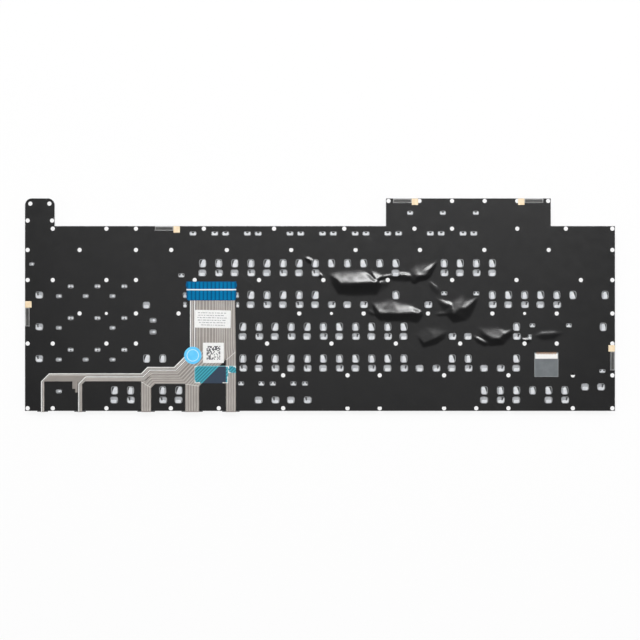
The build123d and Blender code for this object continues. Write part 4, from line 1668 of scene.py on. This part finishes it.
@dataclass
class Labels:
    """Paper labels with plain bars, the round sticker, and the clear cover with its corner marks."""

    seed: int = 11
    tilt: float = -1.0
    wide_size: Point2 = (21.0, 10.5)
    print_size: Point2 = (17.5, 8.6)
    print_rows: int = 6
    corner: float = 0.35
    modules: int = 13
    module: float = 0.62
    cover_width: float = 20.0
    cover_step: float = 4.1
    sticker_sides: int = 48
    ring: Point2 = (0.62, 0.7)

    def bars(self, middle: Point2, size: Point2, rows: int, z: float) -> list[Mark]:
        """Rows of short bars in the place of small print.

        Args:
            middle: Centre of the label.
            size: Of the printed part.
            rows: How many.
            z: Height of the paper.

        Returns:
            Places and sizes of the bars.
        """
        draw = np.random.default_rng(self.seed)
        slope = math.radians(self.tilt)
        marks = []
        for row in range(rows):
            up = size[1] * (0.5 - (row + 0.5) / rows)
            x = -size[0] / 2 + draw.uniform(0, 2.5)
            while x < size[0] / 2 - 1.5:
                wide = min(draw.uniform(0.5, 2.0), size[0] / 2 - x)
                across = x + wide / 2
                at = (middle[0] + across - up * slope, middle[1] + up + across * slope, z)
                marks.append(Mark(at, (wide, 0.42, 1.0), slope))
                x += wide + draw.uniform(0.3, 0.7)
        return marks

    def build(self, shop: Workshop) -> None:
        """Makes the labels, their plain print and the sticker."""
        bar = Shape().slab((0, 0), (1.0, 1.0), -0.01, 0.008, 0.05)
        boxes = sorted(loose_boxes("paper_labels"), key=lambda box: -box[1][1])
        (wide_low, wide_high), (square_low, square_high) = boxes
        sheet = Shape()
        middle = (wide_low + wide_high) / 2
        cos, sin = math.cos(math.radians(self.tilt)), math.sin(math.radians(self.tilt))
        turned = [
            (middle[0] + x * cos - y * sin, middle[1] + x * sin + y * cos)
            for x, y in rounded_rectangle((0, 0), self.wide_size, self.corner)
        ]
        sheet.prism(turned, wide_low[2], wide_high[2])
        square = (square_low + square_high) / 2
        size = square_high - square_low
        sheet.slab((square[0], square[1]), (size[0], size[1]), square_low[2], square_high[2], self.corner)
        piece("labels_paper", sheet, PAPER, ["paper_labels"])
        marks = self.bars((middle[0] - 0.5, middle[1]), self.print_size, self.print_rows, wide_high[2])
        piece("labels_print", shop.repeat("labels_print", bar, marks, INK), INK)
        draw = np.random.default_rng(self.seed + 1)
        grid = []
        for row in range(self.modules):
            for column in range(self.modules):
                if draw.uniform() < 0.5:
                    x = square[0] + (column - (self.modules - 1) / 2) * self.module
                    y = square[1] + (row - (self.modules - 1) / 2) * self.module
                    grid.append(Mark((x, y, square_high[2]), (self.module, self.module, 1.0)))
        piece("labels_modules", shop.repeat("labels_modules", bar, grid, DARK_INK), DARK_INK)
        self.sticker()
        self.cover(shop)

    def sticker(self) -> None:
        """A round sticker with a paler ring."""
        low, high = millimetres("round_sticker")
        middle = ((low.x + high.x) / 2, (low.y + high.y) / 2)
        radius = (high.x - low.x) / 2
        inner, outer = (radius * share for share in self.ring)

        def loops(levels: Sequence[Point2]) -> list[list[tuple[float, float, float]]]:
            """Round loops, from heights and radii."""
            sides = self.sticker_sides
            return [[(x, y, z) for x, y in circle(middle, r, sides)] for z, r in levels]

        disc = Shape().stack(loops([(low.z, radius), (high.z - 0.03, radius), (high.z - 0.01, radius - 0.06)]))
        piece("sticker_disc", disc, STICKER, ["round_sticker"])
        base = high.z - 0.015
        ring = Shape().hoop(loops([(base, outer), (high.z, outer), (high.z, inner), (base, inner)]))
        piece("sticker_ring", ring, STICKER_RING)

    def cover(self, shop: Workshop) -> None:
        """The clear cover over the crossing, with white corner marks."""
        low, high = millimetres("ribbon_cover")
        edge = low.x + self.cover_width
        finish = CoverFinish(
            "cover_teal", "cover_teal", (0.05, 0.4, 0.5), (0.06, 0.43, 0.53), 200.0, (0.25, 0.36), 3000.0, 0.08,
            diagonal=fork_line(), edge=last_tail_edge(),
        )
        outline = [
            (low.x, low.y), (edge, low.y), (edge, high.y - self.cover_step),
            (high.x, high.y - self.cover_step), (high.x, high.y), (low.x, high.y),
        ]
        piece("cover_film", Shape().prism(outline, low.z, high.z), finish, ["ribbon_cover"])
        arm, step = 3.4, 0.28
        marks = [
            [(low.x + step, high.y - 1.3), (low.x + step, high.y - step), (low.x + 1.5, high.y - step)],
            [(low.x + step, low.y + 1.6), (low.x + step, low.y + step), (low.x + arm, low.y + step)],
            [(edge - arm, low.y + step), (edge - step, low.y + step), (edge - step, low.y + 4.0)],
            [(edge - 1.6, high.y - step), (edge + 0.2, high.y - step), (edge + 0.2, high.y - 1.5)],
            [(high.x - 1.5, high.y - step), (high.x - step, high.y - step), (high.x - step, high.y - 1.2)],
            [(edge + 0.2, high.y - 2.7), (edge + 0.2, high.y - 4.0), (edge + 1.4, high.y - 4.0)],
        ]
        border = [
            [(low.x + 0.2, low.y + 0.2), (low.x + 0.2, high.y - 0.2), (high.x - 0.2, high.y - 0.2)],
            [(edge - 0.2, low.y + 0.2), (edge - 0.2, high.y - 0.3)],
        ]
        for name, lines, drop, width, thick, ink in (
            ("cover_border", border, 0.004, 0.34, 0.016, PALE_CYAN),
            ("cover_marks", marks, 0.0, 0.6, 0.02, WHITE_INK),
        ):
            piece(name, shop.traced(name, lines, high.z - drop, width, thick, ink), ink)


def plate_corner() -> Point2:
    """The plate's corner from which the ribbon is measured."""
    low, _ = millimetres("support_plate")
    return low.x, low.y


def fork_line() -> float:
    """Where the ribbon's slanted edge lies, as x less y."""
    x, y = plate_corner()
    return (x + FORK[0]) - (y + FORK[1])


def last_tail_edge() -> float:
    """Where the last tail begins."""
    return plate_corner()[0] + LAST_TAIL


@dataclass
class EdgePieces:
    """The backlight cable's end, light strips, tape tabs and edge guards."""

    fingers: int = 13
    finger: Point2 = (0.55, 1.3)
    cable_rim: float = 0.45
    block_up: float = 5.5
    block_depth: float = 10.2
    band_down: float = 2.6
    band_depth: float = 3.0
    strip_rim: float = 0.35

    def build(self, shop: Workshop) -> None:
        """Makes the small pieces."""
        self.cable(shop)
        for node, finish, round_, edge in (
            ("light_strips", STRIP_RIM, 0.3, 0.05),
            ("tape_tabs", TAPE, 0.15, 0.02),
            ("edge_guards", GUARD, 0.2, 0.15),
        ):
            shape, core = Shape(), Shape()
            for low, high in loose_boxes(node):
                middle, size = (low + high) / 2, high - low
                spot, wide, deep = (middle[0], middle[1]), size[0], size[1]
                shape.slab(spot, (wide, deep), low[2], high[2], min(round_, min(wide, deep) / 2.2), edge)
                inner = (wide - 2 * self.strip_rim, deep - 2 * self.strip_rim)
                core.slab(spot, inner, high[2] - 0.1, high[2] + 0.02, 0.2, 0.01)
            piece(node + "_dressed", shape, finish, [node])
            if finish is STRIP_RIM:
                piece("light_strips_core", core, STRIP)

    def cable(self, shop: Workshop) -> None:
        """The flat end of the backlight's cable: border, grey block, white band and gold fingers."""
        low, high = millimetres("backlight_cable")
        middle, wide, deep = (low.x + high.x) / 2, high.x - low.x, high.y - low.y
        inner, foot = wide - 2 * self.cable_rim, high.z - 0.06
        across = (low.y + high.y) / 2 - 0.25
        base = Shape().slab((middle, across), (wide, deep - 0.5), low.z, high.z - 0.05, 0.3)
        piece("cable_base", base, CABLE_EDGE, ["backlight_cable"])
        block = Shape().slab(
            (middle, low.y + self.block_up), (inner, self.block_depth), foot, high.z - 0.01, 0.2, 0.02
        )
        piece("cable_block", block, CABLE)
        band = Shape().slab(
            (middle, high.y - self.band_down), (inner, self.band_depth), foot, high.z, 0.15, 0.02
        )
        piece("cable_band", band, WHITE_INK)
        pitch = (wide - 3.2) / (self.fingers - 1)
        finger = Shape().slab((0, 0), self.finger, 0.0, 0.06, 0.1)
        first = middle - pitch * (self.fingers - 1) / 2
        marks = [Mark((first + pitch * i, high.y - 0.85, high.z - 0.05)) for i in range(self.fingers)]
        piece("cable_fingers", shop.repeat("cable_fingers", finger, marks, GOLD), GOLD)


# Stage


@dataclass
class Stage:
    """Pale floor, soft light from the top side of the picture, and the camera straight above."""

    distance: float = 1.35
    frame_width: float = 0.3787
    look: Point2 = (0.0, -0.0088)
    film_height: float = 0.0054
    sensor: float = 36.0

    def build(self) -> None:
        """Makes the floor, the lights and the camera."""
        self.floor()
        self.sky()
        self.lamp("top_side", (0.0, 1.0, 1.35), (0, 0, 0), (1.8, 1.15), 17.0)
        self.lamp("top_strip", (0.1, 0.52, 1.2), (0, 0, 0), (1.2, 0.1), 8.4)
        self.lamp("left_side", (-1.4, -0.1, 0.8), (0, 0, 0), (0.8, 0.8), 4.4)
        self.lamp("right_side", (1.4, -0.1, 0.8), (0, 0, 0), (0.8, 0.8), 4.4)
        self.lamp("overhead", (0.0, 0.25, 2.2), (0, 0.25, 0), (0.95, 0.95), 0.85)
        camera = bpy.data.cameras.new("camera")
        camera.sensor_width = self.sensor
        camera.lens = self.sensor * (self.distance - self.film_height) / self.frame_width
        made = bpy.data.objects.new("camera", camera)
        made.location = (*self.look, self.distance)
        bpy.context.scene.collection.objects.link(made)
        bpy.context.scene.camera = made
        bpy.context.scene.view_settings.view_transform = "Standard"

    @staticmethod
    def sky() -> None:
        """A dim, even sky."""
        world = bpy.data.worlds.new("studio")
        world.use_nodes = True
        back = world.node_tree.nodes["Background"]
        back.inputs["Color"].default_value = (1, 1, 1, 1)
        back.inputs["Strength"].default_value = 0.08
        bpy.context.scene.world = world

    @staticmethod
    def lamp(name: str, at: Colour, towards: Colour, size: Point2, power: float) -> None:
        """A soft rectangular lamp aimed at a point."""
        light = bpy.data.lights.new(name, "AREA")
        light.shape = "RECTANGLE"
        light.size, light.size_y = size
        light.energy = power
        made = bpy.data.objects.new(name, light)
        made.location = at
        made.rotation_euler = (Vector(towards) - Vector(at)).to_track_quat("-Z", "Y").to_euler()
        bpy.context.scene.collection.objects.link(made)

    @staticmethod
    def floor() -> None:
        """A white floor with a low sweep around it, white to the camera apart from a trace of the shadow."""
        mesh = bpy.data.meshes.new("floor")
        sides = 64
        rings = [(5.4, 0.0), (5.8, 0.06), (6.0, 0.2), (6.08, 0.45), (6.1, 0.95)]
        points = [(x, y, z) for r, z in rings for x, y in circle((0.0, 0.0), r, sides)]
        faces = [tuple(range(sides))]
        for level in range(len(rings) - 1):
            for i in range(sides):
                a, b = level * sides + i, level * sides + (i + 1) % sides
                faces.append((a, a + sides, b + sides, b))
        mesh.from_pydata(points, [], faces)
        mesh.shade_smooth()
        made = holder("floor", mesh)
        graph = Graph("floor_white")
        path = graph.add("ShaderNodeLightPath", {}, {}).socket.node
        flags = ("Is Camera Ray", "Is Glossy Ray", "Is Transmission Ray")
        camera, glossy, through = (Value(graph, path.outputs[flag]) for flag in flags)
        matt = graph.add("ShaderNodeBsdfDiffuse", {}, {"Color": (0.9, 0.9, 0.9, 1)})
        glow = graph.add("ShaderNodeEmission", {}, {})
        share = camera.larger(glossy.larger(through)) * 0.9
        surface = graph.add("ShaderNodeMixShader", {}, {0: share, 1: matt, 2: glow})
        graph.tree.links.new(surface.socket, graph.tree.nodes["Material Output"].inputs[0])
        graph.tree.nodes.remove(graph.shader)
        mesh.materials.append(graph.material)


def main() -> None:
    """Builds the sub-assemblies in order, then the stage."""
    logging.basicConfig(level=logging.INFO, format="%(name)s: %(message)s")
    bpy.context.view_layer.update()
    layout = Layout()
    LOG.info("%d windows, %d holes, %d keys", len(layout.windows), len(layout.holes), len(layout.keys))
    shop = Workshop()
    SheetStack().build(shop, layout)
    BackFilm().build(shop, layout)
    LinkFeet().build(shop, layout)
    Keys().build(layout)
    Ribbon().build(shop, plate_corner())
    Stiffener().build(shop)
    Labels().build(shop)
    EdgePieces().build(shop)
    shop.close()
    Stage().build()


if __name__ == "__main__":
    main()
